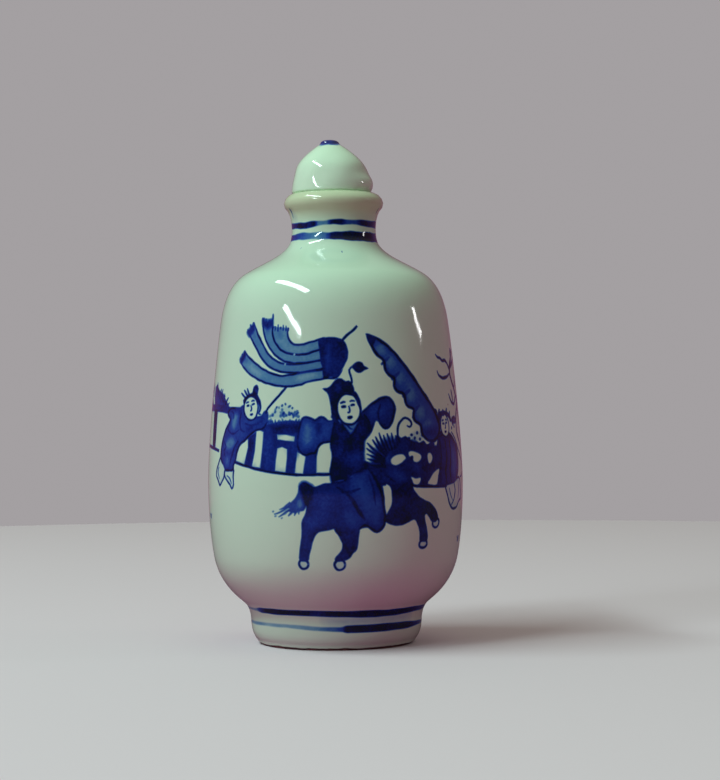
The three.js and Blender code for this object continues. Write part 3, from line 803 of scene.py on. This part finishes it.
    brush.wash([(2.9, 42.4), (3.4, 43.0), (4.0, 43.2), (4.6, 43.0), (4.9, 42.5), (5.6, 42.2), (4.9, 41.9),
                (4.3, 41.5), (3.6, 41.6), (3.2, 42.0)], 0.95)


# A bare tree stands at the right, and strokes of grass mark the ground. The stone and
# the cloud are for the back.


def bare_tree(brush):
    brush.line([(28.9, 30.6), (27.9, 34.4), (27.6, 36.0), (27.4, 37.5), (26.4, 39.0), (24.9, 40.6),
                (24.6, 42.1), (26.1, 43.9), (26.4, 45.4)], 0.66, 0.96, start=1)
    brush.line([(28.0, 38.2), (27.2, 36.6), (26.0, 35.2), (25.5, 33.8), (25.7, 32.2), (27.2, 30.6),
                (28.8, 28.6)], 0.5, 0.94, start=1)
    brush.line([(24.8, 41.2), (24.4, 42.1), (23.6, 43.0), (22.6, 43.5), (21.6, 43.4), (20.9, 43.8),
                (20.1, 43.9), (19.5, 44.4)], 0.44, 0.98)
    brush.line([(24.2, 41.5), (22.6, 40.9), (21.0, 40.8), (19.9, 41.2), (19.6, 41.9)], 0.44, 0.98)
    brush.line([(29.2, 45.4), (28.2, 43.9), (26.6, 43.1), (25.0, 42.5)], 0.5, 0.96, end=1)
    brush.line([(26.2, 44.0), (26.9, 44.8), (27.6, 45.2)], 0.54, 0.92)
    brush.line([(22.9, 38.4), (23.6, 37.4), (24.6, 36.9), (25.4, 36.9), (26.4, 37.8), (26.9, 38.3)], 0.44,
               0.95)
    brush.line([(24.2, 39.0), (24.6, 38.0), (24.8, 37.0)], 0.4, 0.95)
    brush.line([(27.6, 36.2), (28.8, 37.8), (29.6, 39.2), (31.2, 40.2)], 0.5, 0.92)
    brush.line([(26.2, 39.2), (27.6, 40.4), (28.6, 42.0)], 0.46, 0.92)


def grass(brush, count, high):
    """A tuft of blades that lean out from its middle."""
    for i in range(count):
        side = i - (count - 1) / 2
        tip = (side * 0.75, high * (1 - 0.07 * side * side))
        brush.line([(side * 0.22, 0), (side * 0.4, high * 0.6), tip], 0.24, 0.74, start=0.9, end=0.2)


def rock(brush):
    """A garden stone with a dark hollow side."""
    brush.shape([(-3.4, 0), (-3.8, 1.6), (-2.6, 3.0), (-2.4, 4.8), (-0.8, 5.6), (0.6, 4.8), (1.6, 4.6),
                 (2.4, 3.2), (3.6, 2.2), (3.4, 0.4), (0.4, -0.4)], 0.5, 0.26, 0.34)
    brush.soft([(0.4, 4.2), (1.8, 3.4), (2.8, 1.8), (2.6, 0.6), (0.8, 0.4), (0.2, 2.2)], 0.74, 1.2)
    brush.line([(-2.4, 3.0), (-1.2, 2.6), (-1.4, 1.2), (-2.2, 0.6)], 0.3, 0.88)
    brush.line([(0.6, 4.8), (0.2, 3.4), (0.8, 2.2)], 0.3, 0.88)


def cloud(brush):
    """One curled line of cloud."""
    brush.line([(-4.2, 0.2), (-2.6, 0.0), (-1.6, 0.5), (-1.5, 1.5), (-2.2, 1.9), (-2.7, 1.4), (-2.3, 1.0)],
               0.3, 0.72, start=0.6)
    brush.line([(-1.4, 1.0), (-0.2, 1.9), (1.0, 1.7), (1.5, 0.8), (1.0, 0.3), (0.5, 0.7)], 0.3, 0.72,
               start=0.8)
    brush.line([(1.5, 0.8), (2.6, 0.7), (4.4, 0.3)], 0.26, 0.66, start=0.8)


front = Brush()
wall_behind(front)
wall_at_left(front)
bare_tree(front)
far_attendant(front)
attendant(front)
banner(front)
horse(front)
leaf_flag(front)
rider(front)
grass(Brush(26.0, 15.8), 3, 1.0)
grass(Brush(-26.4, 19.6), 3, 0.8)
# Specks of cobalt landed on the shoulder. Under the lip, dark dabs and a faint wash of blue are painted
# shade in the hollow there.
specks = [(3.0, 60.0, 0.15, 0.8), (-13.8, 60.8, 0.14, 0.4)]
under_lip_shade = [(-23.4, 66.4, 0.75, 0.97), (25.2, 66.7, 0.4, 0.85)]
for x, z, radius, tone in specks + under_lip_shade:
    front.dab(x, z, radius, tone, 0.8)
front.soft([(-24.0, 66.7), (-21.0, 66.3), (-19.5, 65.6), (-23.5, 65.5)], 0.1, 1.6)

# The photograph doesn't show the back, where the painter's scene goes on more simply: the
# wall ends at a bush, a garden stone and another tree stand beyond, and clouds drift over.
rock(Brush(43.0, 24.6, 1.2))
grass(Brush(38.0, 24.2), 5, 2.0)
grass(Brush(48.6, 24.0), 4, 1.6)
bare_tree(Brush(78.4, 1.0, 0.95, flip=True))
cloud(Brush(47.0, 44.0))
cloud(Brush(-46.0, 45.5, 1.1))
bush(Brush(-42.0, 29.6), 3.4, 3.4, 60, 9)
fringe(Brush(), [(x, 29.6) for x in np.arange(-45.4, -38.4, 0.5)], 1.2, 0.7, 0.5)
for ground, count in ((-52.0, 5), (-33.0, 4), (55.0, 4), (34.0, 3)):
    grass(Brush(ground, 22.0 + 0.03 * ground), count, 1.4)

# The bands at the neck and the foot were pulled with a full brush while the bottle was
# turned. They wander a little, and each fades and thins as the brush runs dry.


def wander(x, seed, size):
    """A smooth value in -1..1 that closes on itself round the bottle."""
    angle = x / BODY_RADIUS
    return noise.noise(Vector((math.cos(angle) * size, math.sin(angle) * size, seed)))


def round_the_bottle(stops):
    """A value that follows (x, value) stops round the bottle and closes on itself."""
    xs, values = zip(*stops)
    return lambda x: float(np.interp(x, xs, values, period=2 * HALF_ROUND))


def band(height, width, tone, seed):
    """One band from its stops of height, width and strength of blue round the bottle."""
    height, width, tone = (round_the_bottle(stops) for stops in (height, width, tone))
    lay_band(
        lambda x: height(x) + HAND_WOBBLE * wander(x, seed, 3),
        lambda x: width(x) * (1 + 0.2 * wander(x, seed + 1, 5)),
        lambda x: max(0.0, min(1.0, tone(x) + 0.08 * wander(x, seed + 2, 7))),
    )


band([(-30, 64.5), (-14, 64.3), (-8, 64.5), (0, 64.75), (20, 64.65)],
     [(-30, 0.8), (-16, 0.95), (-9, 0.9), (-5, 0.6), (0, 0.7), (4, 0.85), (9, 0.6), (14, 0.85), (22, 1.05)],
     [(-30, 0.8), (-18, 0.98), (-9, 0.96), (-7, 0.4), (-3, 0.37), (-1, 0.94), (4, 0.97), (7, 0.66),
      (11, 0.62), (14, 0.95), (30, 0.8)], 1)
band([(-30, 62.6), (-14, 62.7), (0, 62.6), (20, 62.55)],
     [(-30, 0.9), (-12, 1.05), (-3, 1.1), (2, 1.2), (8, 1.4), (20, 1.55)],
     [(-30, 0.75), (-20, 0.7), (-13, 0.46), (-8, 0.36), (-3.5, 0.44), (-1, 0.94), (16, 0.97), (30, 0.8)], 4)
# A thin wash of blue darkens the waist between the foot's two bands, partly a wash that ran there and
# partly painted shade in that hollow.
front.soft([(-2.0, 5.2), (18.0, 5.4), (18.0, 3.9), (1.0, 3.7)], 0.13, 1.6)
band([(-30, 5.75), (-8, 5.8), (0, 5.7), (10, 5.6), (20, 5.7)],
     [(-30, 0.4), (-21, 0.5), (-19, 0.9), (-8, 1.05), (0, 1.05), (10, 1.15), (20, 1.0), (27, 0.7)],
     [(-30, 0.3), (-21, 0.3), (-19, 0.93), (0, 0.97), (16, 0.95), (24, 0.8), (28, 0.4)], 7)
band([(-30, 3.5), (-12, 3.7), (-5, 3.45), (1, 3.3), (20, 3.4)],
     [(-30, 0.45), (-14, 0.5), (-4, 0.62), (1.4, 0.7), (2.4, 1.1), (10, 1.2), (18, 1.05), (24, 0.6),
      (28, 0.45)],
     [(-30, 0.3), (-14, 0.27), (-4, 0.3), (-1.5, 0.5), (1.4, 0.6), (2.4, 0.95), (10, 0.98), (18, 0.95),
      (24, 0.85), (28, 0.4)], 10)

# The bottle's mesh is the painted sheet bent round the profile, welded to the base and
# the hollow, which are spun from the same profile. One triangle has one blue at each
# corner, and no triangle crosses the edge of a stroke.
AROUND = 160
ROW = 0.7
RING_SPACING = 1.1
SAME_PLACE = 0.004
WELD = 2e-6


def sheet_mesh():
    """Points and triangles of the flat sheet, cut along the edge of every stroke."""
    rows = round((sheet_high - sheet_low) / ROW)
    pitch = 2 * HALF_ROUND / AROUND
    places = []
    for row in range(rows + 1):
        run = sheet_low + (sheet_high - sheet_low) * row / rows
        shift = 0.5 if row % 2 and row < rows else 0
        count = AROUND if shift else AROUND + 1
        places += [(-HALF_ROUND + pitch * (i + shift), run) for i in range(count)]
        if shift:
            places += [(-HALF_ROUND, run), (HALF_ROUND, run)]
    edges = []
    for *_, creases in strokes:
        for line, closed in creases:
            first = len(places)
            places += [tuple(p) for p in line]
            edges += [(first + i, first + i + 1) for i in range(len(line) - 1)]
            if closed:
                edges.append((len(places) - 1, first))
    found = delaunay_2d_cdt([Vector(p) for p in places], edges, [], 0, SAME_PLACE, False)
    return np.array([tuple(v) for v in found[0]]), found[2]


def wrapped(x, run):
    """The place on the bottle of a point of the sheet."""
    radius = np.interp(run, wall_run, wall_line[:, 0])
    height = np.interp(run, wall_run, wall_line[:, 1])
    angle = x / BODY_RADIUS
    return Vector((radius * math.sin(angle), -radius * math.cos(angle), height)) * MM


def spin_round(shell, wire, steps):
    """Turn a line of vertices once round the axis."""
    edges = [shell.edges.new(pair) for pair in zip(wire[:-1], wire[1:])]
    once = {"cent": (0, 0, 0), "axis": (0, 0, 1), "angle": math.tau, "use_merge": True}
    bmesh.ops.spin(shell, geom=wire + edges, steps=steps, **once)


def weld(shell):
    """Join the corners that meet, and turn every face outward."""
    bmesh.ops.remove_doubles(shell, verts=shell.verts, dist=WELD)
    bmesh.ops.recalc_face_normals(shell, faces=shell.faces)


def made_mesh(shell, name):
    mesh = bpy.data.meshes.new(name)
    shell.to_mesh(mesh)
    shell.free()
    return mesh


def bottle_mesh():
    """The painted wall, its recessed base and its hollow as one closed skin."""
    points, triangles = sheet_mesh()
    shell = bmesh.new()
    run_of = shell.verts.layers.float.new("run")
    blue_of = shell.verts.layers.float.new("cobalt")
    corners = []
    for place, strength in zip(points, blue_at(points)):
        corner = shell.verts.new(wrapped(*place))
        corner[run_of] = place[1]
        corner[blue_of] = strength
        corners.append(corner)
    for triangle in triangles:
        shell.faces.new([corners[i] for i in triangle])
    for part, first in ((base_line, 0), (hollow_line, sheet_high)):
        runs = first + lengths_along(part)
        kept = np.linspace(first, runs[-1], round((runs[-1] - first) / RING_SPACING) + 1)
        wire = []
        for run in np.unique(np.concatenate([kept, runs[::STRETCH_STEPS]])):
            corner = shell.verts.new(wrapped(-HALF_ROUND, run))
            corner[run_of] = run
            wire.append(corner)
        spin_round(shell, wire, AROUND)
    weld(shell)
    return made_mesh(shell, "bottle_body")


def vertex_values(mesh, name):
    values = np.zeros(len(mesh.vertices), np.float32)
    mesh.attributes[name].data.foreach_get("value", values)
    return values


def vertex_places(mesh):
    places = np.zeros(len(mesh.vertices) * 3, np.float32)
    mesh.vertices.foreach_get("co", places)
    return places.reshape(-1, 3)


def wall_normals(mesh):
    """The true normal of the turned wall at each vertex, as the sheet's triangles are thin."""
    run = vertex_values(mesh, "run")
    places = vertex_places(mesh)
    ahead = np.gradient(wall_line, axis=0)
    ahead /= np.linalg.norm(ahead, axis=1, keepdims=True)
    out = np.interp(run, wall_run, ahead[:, 1])
    up = np.interp(run, wall_run, -ahead[:, 0])
    radius = np.maximum(np.hypot(places[:, 0], places[:, 1]), 1e-9)
    normals = np.stack([places[:, 0] / radius * out, places[:, 1] / radius * out, up], 1)
    return normals / np.linalg.norm(normals, axis=1, keepdims=True)


def unroll(mesh, along):
    """A UV map with the turn about the axis across it, and the value along up it."""
    face_start = np.zeros(len(mesh.polygons), np.int32)
    mesh.polygons.foreach_get("loop_start", face_start)
    face_size = np.zeros(len(mesh.polygons), np.int32)
    mesh.polygons.foreach_get("loop_total", face_size)
    corner = np.zeros(len(mesh.loops), np.int32)
    mesh.loops.foreach_get("vertex_index", corner)
    places = vertex_places(mesh)[corner]
    turn = np.arctan2(places[:, 0], -places[:, 1]) / math.tau + 0.5
    on_axis = np.hypot(places[:, 0], places[:, 1]) < 1e-7
    low = np.repeat(np.minimum.reduceat(np.where(on_axis, 2, turn), face_start), face_size)
    high = np.repeat(np.maximum.reduceat(np.where(on_axis, -1, turn), face_start), face_size)
    over_seam = high - low > 0.5
    turn = np.where(over_seam & (turn < 0.5) & ~on_axis, turn + 1, turn)
    middle = np.where(over_seam, (low + high + 1) / 2, (low + high) / 2)
    turn = np.where(on_axis, middle, turn)
    uv = np.stack([turn, along[corner]], 1)
    mesh.uv_layers.new(name="OFBake").data.foreach_set("uv", uv.astype(np.float32).ravel())


# How much of the UV map's height the base, the outside and the hollow take.
UV_SHARES = [0, 0.04, 0.9, 1]
body_mesh = bottle_mesh()
body_mesh.shade_smooth()
body_mesh.normals_split_custom_set_from_vertices([tuple(n) for n in wall_normals(body_mesh)])
part_ends = [0, sheet_low, sheet_high, wall_run[-1]]
unroll(body_mesh, np.interp(vertex_values(body_mesh, "run"), part_ends, UV_SHARES))
bottle = in_scene("bottle_body", body_mesh)


def new_group(name, inputs, outputs):
    """A shader node group with number and vector sockets, given as (name, kind, value)."""
    group = bpy.data.node_groups.new(name, "ShaderNodeTree")
    for label, kind, value in inputs:
        socket = group.interface.new_socket(label, in_out="INPUT", socket_type=kind)
        if value is not None:
            socket.default_value = value
    for label, kind in outputs:
        group.interface.new_socket(label, in_out="OUTPUT", socket_type=kind)
    return group, group.nodes.new("NodeGroupInput"), group.nodes.new("NodeGroupOutput")


def add_node(tree, kind, fed=None, **settings):
    """A node with its settings, and its inputs by number, each a value or a socket."""
    node = tree.nodes.new(kind)
    for name, value in settings.items():
        setattr(node, name, value)
    for place, value in (fed or {}).items():
        if isinstance(value, bpy.types.NodeSocket):
            tree.links.new(value, node.inputs[place])
        else:
            node.inputs[place].default_value = value
    return node


def math_node(tree, operation, *values):
    """The result of one sum on numbers or sockets."""
    return add_node(tree, "ShaderNodeMath", dict(enumerate(values)), operation=operation).outputs[0]


def colour_mix(tree, share, first, second, blend="MIX"):
    """Two colours mixed, each a socket or a colour."""
    fed = {0: share, 6: first, 7: second}
    return add_node(tree, "ShaderNodeMix", fed, data_type="RGBA", blend_type=blend).outputs[2]


def set_stops(node, stops):
    """The stops of a colour ramp, each (position, colour)."""
    elements = node.color_ramp.elements
    while len(elements) < len(stops):
        elements.new(0.5)
    for element, (position, colour) in zip(elements, stops):
        element.position = position
        element.color = (*colour, 1)


# The cobalt under the glaze is never even: it settles in clouds and fine grains. A thin
# wash shows pale and greenish through the glaze, and a thick one nearly black.
COBALT_STOPS = [
    (0.0, (0.56, 0.79, 0.60)),
    (0.1, (0.41, 0.64, 0.56)),
    (0.2, (0.23, 0.45, 0.51)),
    (0.36, (0.072, 0.225, 0.40)),
    (0.58, (0.015, 0.064, 0.34)),
    (0.76, (0.006, 0.024, 0.22)),
    (0.88, (0.0035, 0.011, 0.115)),
    (0.94, (0.003, 0.008, 0.055)),
    (1.0, (0.003, 0.009, 0.03)),
]


def underglaze_blue():
    """From a strength of cobalt to its colour through the glaze."""
    group, given, result = new_group(
        "underglaze_blue",
        [("Cobalt", "NodeSocketFloat", 0.0), ("Clouding", "NodeSocketFloat", 0.3)],
        [("Color", "NodeSocketColor")],
    )
    place = add_node(group, "ShaderNodeTexCoord").outputs["Object"]
    clouds = add_node(group, "ShaderNodeTexNoise", {"Vector": place, "Scale": 420.0, "Detail": 2.0})
    grains = add_node(group, "ShaderNodeTexNoise", {"Vector": place, "Scale": 2600.0, "Detail": 1.0})
    both = add_node(group, "ShaderNodeMix", {0: 0.4, 2: clouds.outputs["Fac"], 3: grains.outputs["Fac"]})
    swing = math_node(group, "SUBTRACT", both.outputs[0], 0.5)
    swing = math_node(group, "MULTIPLY", swing, given.outputs["Clouding"])
    swing = math_node(group, "MULTIPLY", swing, 2.0)
    share = math_node(group, "MULTIPLY", given.outputs["Cobalt"], swing)
    total = math_node(group, "ADD", given.outputs["Cobalt"], share)
    colour = add_node(group, "ShaderNodeValToRGB", {0: total})
    set_stops(colour, COBALT_STOPS)
    group.links.new(colour.outputs["Color"], result.inputs["Color"])
    return group


PIT_COLOUR = (0.09, 0.06, 0.05, 1)


def glaze_skin():
    """The glaze's own surface: long soft waves, and small brown pits."""
    group, given, result = new_group(
        "glaze_skin",
        [("Color", "NodeSocketColor", None), ("Pits", "NodeSocketFloat", 1.0)],
        [("Color", "NodeSocketColor"), ("Roughness", "NodeSocketFloat"), ("Height", "NodeSocketFloat")],
    )
    place = add_node(group, "ShaderNodeTexCoord").outputs["Object"]
    waves = add_node(group, "ShaderNodeTexNoise", {"Vector": place, "Scale": 160.0, "Detail": 1.0})
    cells = add_node(group, "ShaderNodeTexVoronoi", {"Vector": place, "Scale": 230.0})
    draw = add_node(group, "ShaderNodeSeparateColor", {0: cells.outputs["Color"]})
    rare = math_node(group, "GREATER_THAN", draw.outputs[0], 0.93)
    fed = {"Value": cells.outputs["Distance"], "From Min": 0.045, "From Max": 0.02}
    spot = add_node(group, "ShaderNodeMapRange", fed)
    pit = math_node(group, "MULTIPLY", spot.outputs[0], rare)
    pit = math_node(group, "MULTIPLY", pit, given.outputs["Pits"])
    tinted = colour_mix(group, pit, given.outputs["Color"], PIT_COLOUR)
    rough = add_node(group, "ShaderNodeMapRange", {"Value": pit, "To Min": 0.06, "To Max": 0.4})
    dip = math_node(group, "MULTIPLY", pit, -0.3)
    height = math_node(group, "ADD", waves.outputs["Fac"], dip)
    group.links.new(tinted, result.inputs["Color"])
    group.links.new(rough.outputs[0], result.inputs["Roughness"])
    group.links.new(height, result.inputs["Height"])
    return group


blue_group = underglaze_blue()
skin_group = glaze_skin()


def glazed_material(name):
    """A gloss glaze, with its tree, shader, skin and the painting's colour to go under it."""
    material = bpy.data.materials.new(name)
    material.use_nodes = True
    tree = material.node_tree
    shader = tree.nodes["Principled BSDF"]
    shader.inputs["IOR"].default_value = 1.5
    skin = add_node(tree, "ShaderNodeGroup", node_tree=skin_group)
    fed = {"Height": skin.outputs["Height"], "Strength": 0.25, "Distance": 0.0002}
    bump = add_node(tree, "ShaderNodeBump", fed)
    tree.links.new(skin.outputs["Roughness"], shader.inputs["Roughness"])
    tree.links.new(bump.outputs["Normal"], shader.inputs["Normal"])
    cobalt = add_node(tree, "ShaderNodeAttribute", attribute_name="cobalt")
    blue = add_node(tree, "ShaderNodeGroup", {"Cobalt": cobalt.outputs["Fac"]}, node_tree=blue_group)
    return material, tree, shader, skin, blue.outputs["Color"]


glaze, tree, shader, skin, painted = glazed_material("bottle_glaze")
# The lip is yellower than the rest, from years of handling.
HANDLED_LOW = 0.0648
HANDLED_HIGH = 0.0668
HANDLED_TINT = (1.0, 0.87, 0.74, 1)
place = add_node(tree, "ShaderNodeTexCoord").outputs["Object"]
height = add_node(tree, "ShaderNodeSeparateXYZ", {0: place}).outputs["Z"]
fed = {"Value": height, "From Min": HANDLED_LOW, "From Max": HANDLED_HIGH}
handled = add_node(tree, "ShaderNodeMapRange", fed)
aged = colour_mix(tree, handled.outputs[0], painted, HANDLED_TINT, "MULTIPLY")
tree.links.new(aged, skin.inputs["Color"])
# The foot ring's underside was wiped clean of glaze. Along its edge a dark line is painted, partly fired
# brown and partly painted shade where the foot meets the table.
CLAY_AND_EDGE_SHADE_STOPS = [
    (0.0, (0.50, 0.40, 0.31)),
    (0.4, (0.46, 0.35, 0.26)),
    (0.62, (0.07, 0.03, 0.024)),
    (1.0, (0.05, 0.022, 0.02)),
]
ragged = add_node(tree, "ShaderNodeTexNoise", {"Vector": place, "Scale": 300.0, "Detail": 3.0})
height = math_node(tree, "MULTIPLY_ADD", ragged.outputs["Fac"], -0.0006, height)
clay_and_edge_shade = add_node(tree, "ShaderNodeValToRGB")
set_stops(clay_and_edge_shade, CLAY_AND_EDGE_SHADE_STOPS)
up_edge = add_node(tree, "ShaderNodeMapRange", {"Value": height, "From Min": -0.0005, "From Max": 0.0001})
tree.links.new(up_edge.outputs[0], clay_and_edge_shade.inputs[0])
bare = add_node(tree, "ShaderNodeMapRange", {"Value": height, "From Min": 0.0001, "From Max": -0.00005})
mixed = colour_mix(tree, bare.outputs[0], skin.outputs["Color"], clay_and_edge_shade.outputs["Color"])
tree.links.new(mixed, shader.inputs["Base Color"])
dull = add_node(tree, "ShaderNodeMix", {0: bare.outputs[0], 2: skin.outputs["Roughness"], 3: 0.75})
tree.links.new(dull.outputs[0], shader.inputs["Roughness"])
body_mesh.materials.append(glaze)
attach(bottle, "root")
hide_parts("bottle")

# The stopper is a small solid dome of the same porcelain with a plug that drops into
# the mouth. It was shaped by hand, so it leans, is a little lumpy, and its knob of a
# tip was touched with blue.
STOPPER_RADIUS = 6.3
PLUG_RADIUS = 3.0
PLUG_LENGTH = 4.2
TIP_RADIUS = 1.45
STOPPER_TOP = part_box("stopper")[1].z / MM
STOPPER_SHIFT = -0.2
STOPPER_LEAN = -0.35
STOPPER_SIDES = 96
LUMP = 0.05
SWELL = 0.06
SWELL_RISE = 1.8
TIP_BLUE = 0.86
TIP_BLUE_FROM = 77.05
TIP_BLUE_FADE = 0.35


def stopper_profile():
    plug_end = RIM_TOP - PLUG_LENGTH
    return turned_profile((0, plug_end), [
        ((PLUG_RADIUS - EDGE_ROUNDING, plug_end), []),
        ((PLUG_RADIUS, plug_end + EDGE_ROUNDING), [(PLUG_RADIUS, plug_end)]),
        ((PLUG_RADIUS, RIM_TOP), []),
        ((STOPPER_RADIUS - EDGE_ROUNDING, RIM_TOP), []),
        ((STOPPER_RADIUS, RIM_TOP + EDGE_ROUNDING), [(STOPPER_RADIUS, RIM_TOP)]),
        ((5.55, 73.7), [(STOPPER_RADIUS, 71.2), (6.15, 72.5)]),
        ((2.2, 76.9), [(5.0, 74.85), (3.5, 76.0)]),
        ((TIP_RADIUS, 77.5), [(1.6, 77.2)]),
        ((0, STOPPER_TOP), [(TIP_RADIUS - 0.1, 77.85), (0.8, STOPPER_TOP)]),
    ], steps=8)


def stopper_mesh():
    """The dome spun round, then pushed out of true as a hand-shaped one is."""
    knob = bmesh.new()
    run_of = knob.verts.layers.float.new("run")
    blue_of = knob.verts.layers.float.new("cobalt")
    line = stopper_profile()
    wire = []
    for (radius, height), run in zip(line, lengths_along(line)):
        corner = knob.verts.new(Vector((0, -radius, height)) * MM)
        corner[run_of] = run / lengths_along(line)[-1]
        wire.append(corner)
    spin_round(knob, wire, STOPPER_SIDES)
    weld(knob)
    for corner in knob.verts:
        x, y, z = corner.co / MM
        above = z - RIM_TOP
        rise = max(0, above / (STOPPER_TOP - RIM_TOP))
        lump = LUMP * (noise.noise(Vector((x, y, z)) * 0.35) - 1) * min(1, rise * 3) * (1 - rise)
        # It swells on the right, over a base that is cut in there.
        out = min(1, max(0, (math.hypot(x, y) - PLUG_RADIUS) / (STOPPER_RADIUS - PLUG_RADIUS)))
        swell = math.exp(-((above - SWELL_RISE) ** 2)) - math.exp(-4 * max(0, above) ** 2)
        lump += SWELL * out * swell * max(0, x / max(math.hypot(x, y), 0.1)) ** 2
        aside = STOPPER_SHIFT + STOPPER_LEAN * rise
        corner.co = Vector((x * (1 + lump) + aside, y * (1 + lump), z)) * MM
        edge = z + 0.25 * noise.noise(Vector((x, y, 3)) * 0.9)
        corner[blue_of] = TIP_BLUE * min(1, max(0, (edge - TIP_BLUE_FROM) / TIP_BLUE_FADE))
    return made_mesh(knob, "stopper_dome")


dome_mesh = stopper_mesh()
dome_mesh.shade_smooth()
dome_mesh.set_sharp_from_angle(angle=math.radians(40))
unroll(dome_mesh, vertex_values(dome_mesh, "run"))
dome = in_scene("stopper_dome", dome_mesh)
# Its glaze is a little paler than the bottle's.
PALER = (1.15, 1.13, 1.10, 1)
dome_glaze, tree, shader, skin, painted = glazed_material("stopper_glaze")
tree.links.new(colour_mix(tree, 1.0, painted, PALER, "MULTIPLY"), skin.inputs["Color"])
tree.links.new(skin.outputs["Color"], shader.inputs["Base Color"])
dome_mesh.materials.append(dome_glaze)
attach(dome, "root")
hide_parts("stopper")

# The bottle stands on a plain round table in a dim room. The camera sees the table and
# the backdrop pale, while the glaze takes a rosy light from them, as it does in the
# photograph.
TABLE_RADIUS = 0.326
TABLE_SEEN = (0.74, 0.67, 0.71, 1)
TABLE_BOUNCE = (0.57, 0.13, 0.30, 1)
TABLE_MIRRORED = (0.13, 0.06, 0.10, 1)
round_top = bmesh.new()
bmesh.ops.create_circle(round_top, cap_ends=True, segments=128, radius=TABLE_RADIUS)
table = made_mesh(round_top, "table")
floor = in_scene("table", table)
paper = bpy.data.materials.new("paper")
paper.use_nodes = True
tree = paper.node_tree
shader = tree.nodes["Principled BSDF"]
shader.inputs["Roughness"].default_value = 0.75
ray = add_node(tree, "ShaderNodeLightPath")
rosy = colour_mix(tree, ray.outputs["Is Glossy Ray"], TABLE_BOUNCE, TABLE_MIRRORED)
pale = colour_mix(tree, ray.outputs["Is Camera Ray"], rosy, TABLE_SEEN)
tree.links.new(pale, shader.inputs["Base Color"])
table.materials.append(paper)

# The room is nearly dark behind the camera, dim and rosy beyond the table, and lit by a
# pale ceiling.
ROOM_STOPS = [
    (0.0, (0.03, 0.02, 0.026)),
    (0.3, (0.055, 0.034, 0.044)),
    (0.6, (0.155, 0.068, 0.11)),
    (1.0, (0.19, 0.07, 0.125)),
]
CEILING = (0.46, 0.49, 0.38, 1)
BACKDROP = (0.37, 0.35, 0.36, 1)
room = bpy.data.worlds.new("room")
room.use_nodes = True
tree = room.node_tree
outward = add_node(tree, "ShaderNodeTexCoord").outputs["Generated"]
away = add_node(tree, "ShaderNodeSeparateXYZ", {0: outward})
fed = {"Value": away.outputs["Y"], "From Min": -1.0, "From Max": 1.0}
around = add_node(tree, "ShaderNodeMapRange", fed)
shade = add_node(tree, "ShaderNodeValToRGB", {0: around.outputs[0]})
set_stops(shade, ROOM_STOPS)
fed = {"Value": away.outputs["Z"], "From Min": 0.35, "From Max": 1.0}
upward = add_node(tree, "ShaderNodeMapRange", fed)
above = colour_mix(tree, upward.outputs[0], shade.outputs["Color"], CEILING)
seen = add_node(tree, "ShaderNodeLightPath").outputs["Is Camera Ray"]
backdrop = colour_mix(tree, seen, above, BACKDROP)
tree.links.new(backdrop, tree.nodes["Background"].inputs["Color"])
bpy.context.scene.world = room

# Three long lights stand round the bottle, a metre off: a tube at the ceiling, a narrow
# window at the left and a gap at the right. The last two curve across the glaze, so each
# is a row of short lamps end to end.
LAMP_DISTANCE = 1.0
LAMP_TARGET = Vector((0, 0, 0.05))


def direction(turn, rise):
    """The way to a lamp that stands turn degrees right of the front and rise degrees up."""
    turn, rise = math.radians(turn), math.radians(rise)
    return Vector((math.cos(rise) * math.sin(turn), -math.cos(rise) * math.cos(turn), math.sin(rise)))


def tube_lamp(name, one_end, other_end, width, power, tint=(1, 1, 1)):
    """A long soft tube between two directions from the bottle's shoulder."""
    start = direction(*one_end) * LAMP_DISTANCE + LAMP_TARGET
    end = direction(*other_end) * LAMP_DISTANCE + LAMP_TARGET
    lamp = bpy.data.lights.new(name, "AREA")
    lamp.shape = "RECTANGLE"
    lamp.size = (end - start).length
    lamp.size_y = width
    lamp.energy = power
    lamp.color = tint
    middle = (start + end) / 2
    along = (end - start).normalized()
    across = (middle - LAMP_TARGET).cross(along).normalized()
    turned = Matrix((along, across, along.cross(across))).transposed().to_4x4()
    in_scene(name, lamp).matrix_world = Matrix.Translation(middle) @ turned


CEILING_TINT = (0.81, 1.03, 1.0)
tube_lamp("ceiling_tube", (-98, 53.0), (-33, 44.6), width=0.09, power=5.4, tint=CEILING_TINT)

WINDOW_TINT = (0.85, 1.05, 1.06)
WINDOW_POWER = 10.8
WINDOW_ENDS = [(-53.9, 25.6), (-49.1, 22.1), (-45.4, 19.0), (-42.0, 17.2), (-37.4, 16.1), (-33.1, 15.2)]
WINDOW_WIDTHS = [0.064, 0.054, 0.038, 0.022, 0.016]
for number, (upper, lower, width) in enumerate(zip(WINDOW_ENDS[:-1], WINDOW_ENDS[1:], WINDOW_WIDTHS)):
    tube_lamp(f"window_slit_{number}", upper, lower, width, WINDOW_POWER * width, WINDOW_TINT)

GAP_WIDTH = 0.06
GAP_POWER = 0.055
GAP_RISES = np.concatenate([np.linspace(19.7, 14.0, 4), np.linspace(13.2, 10.8, 7)])
GAP_TURNS = ([10.8, 12.2, 13.6], [95.4, 92.2, 90.2])
for number, (upper, lower) in enumerate(zip(GAP_RISES[:-1], GAP_RISES[1:])):
    turn = np.interp((upper + lower) / 2, *GAP_TURNS)
    tube_lamp(f"right_slit_{number}", (turn, upper), (turn, lower), GAP_WIDTH, GAP_POWER * (upper - lower))
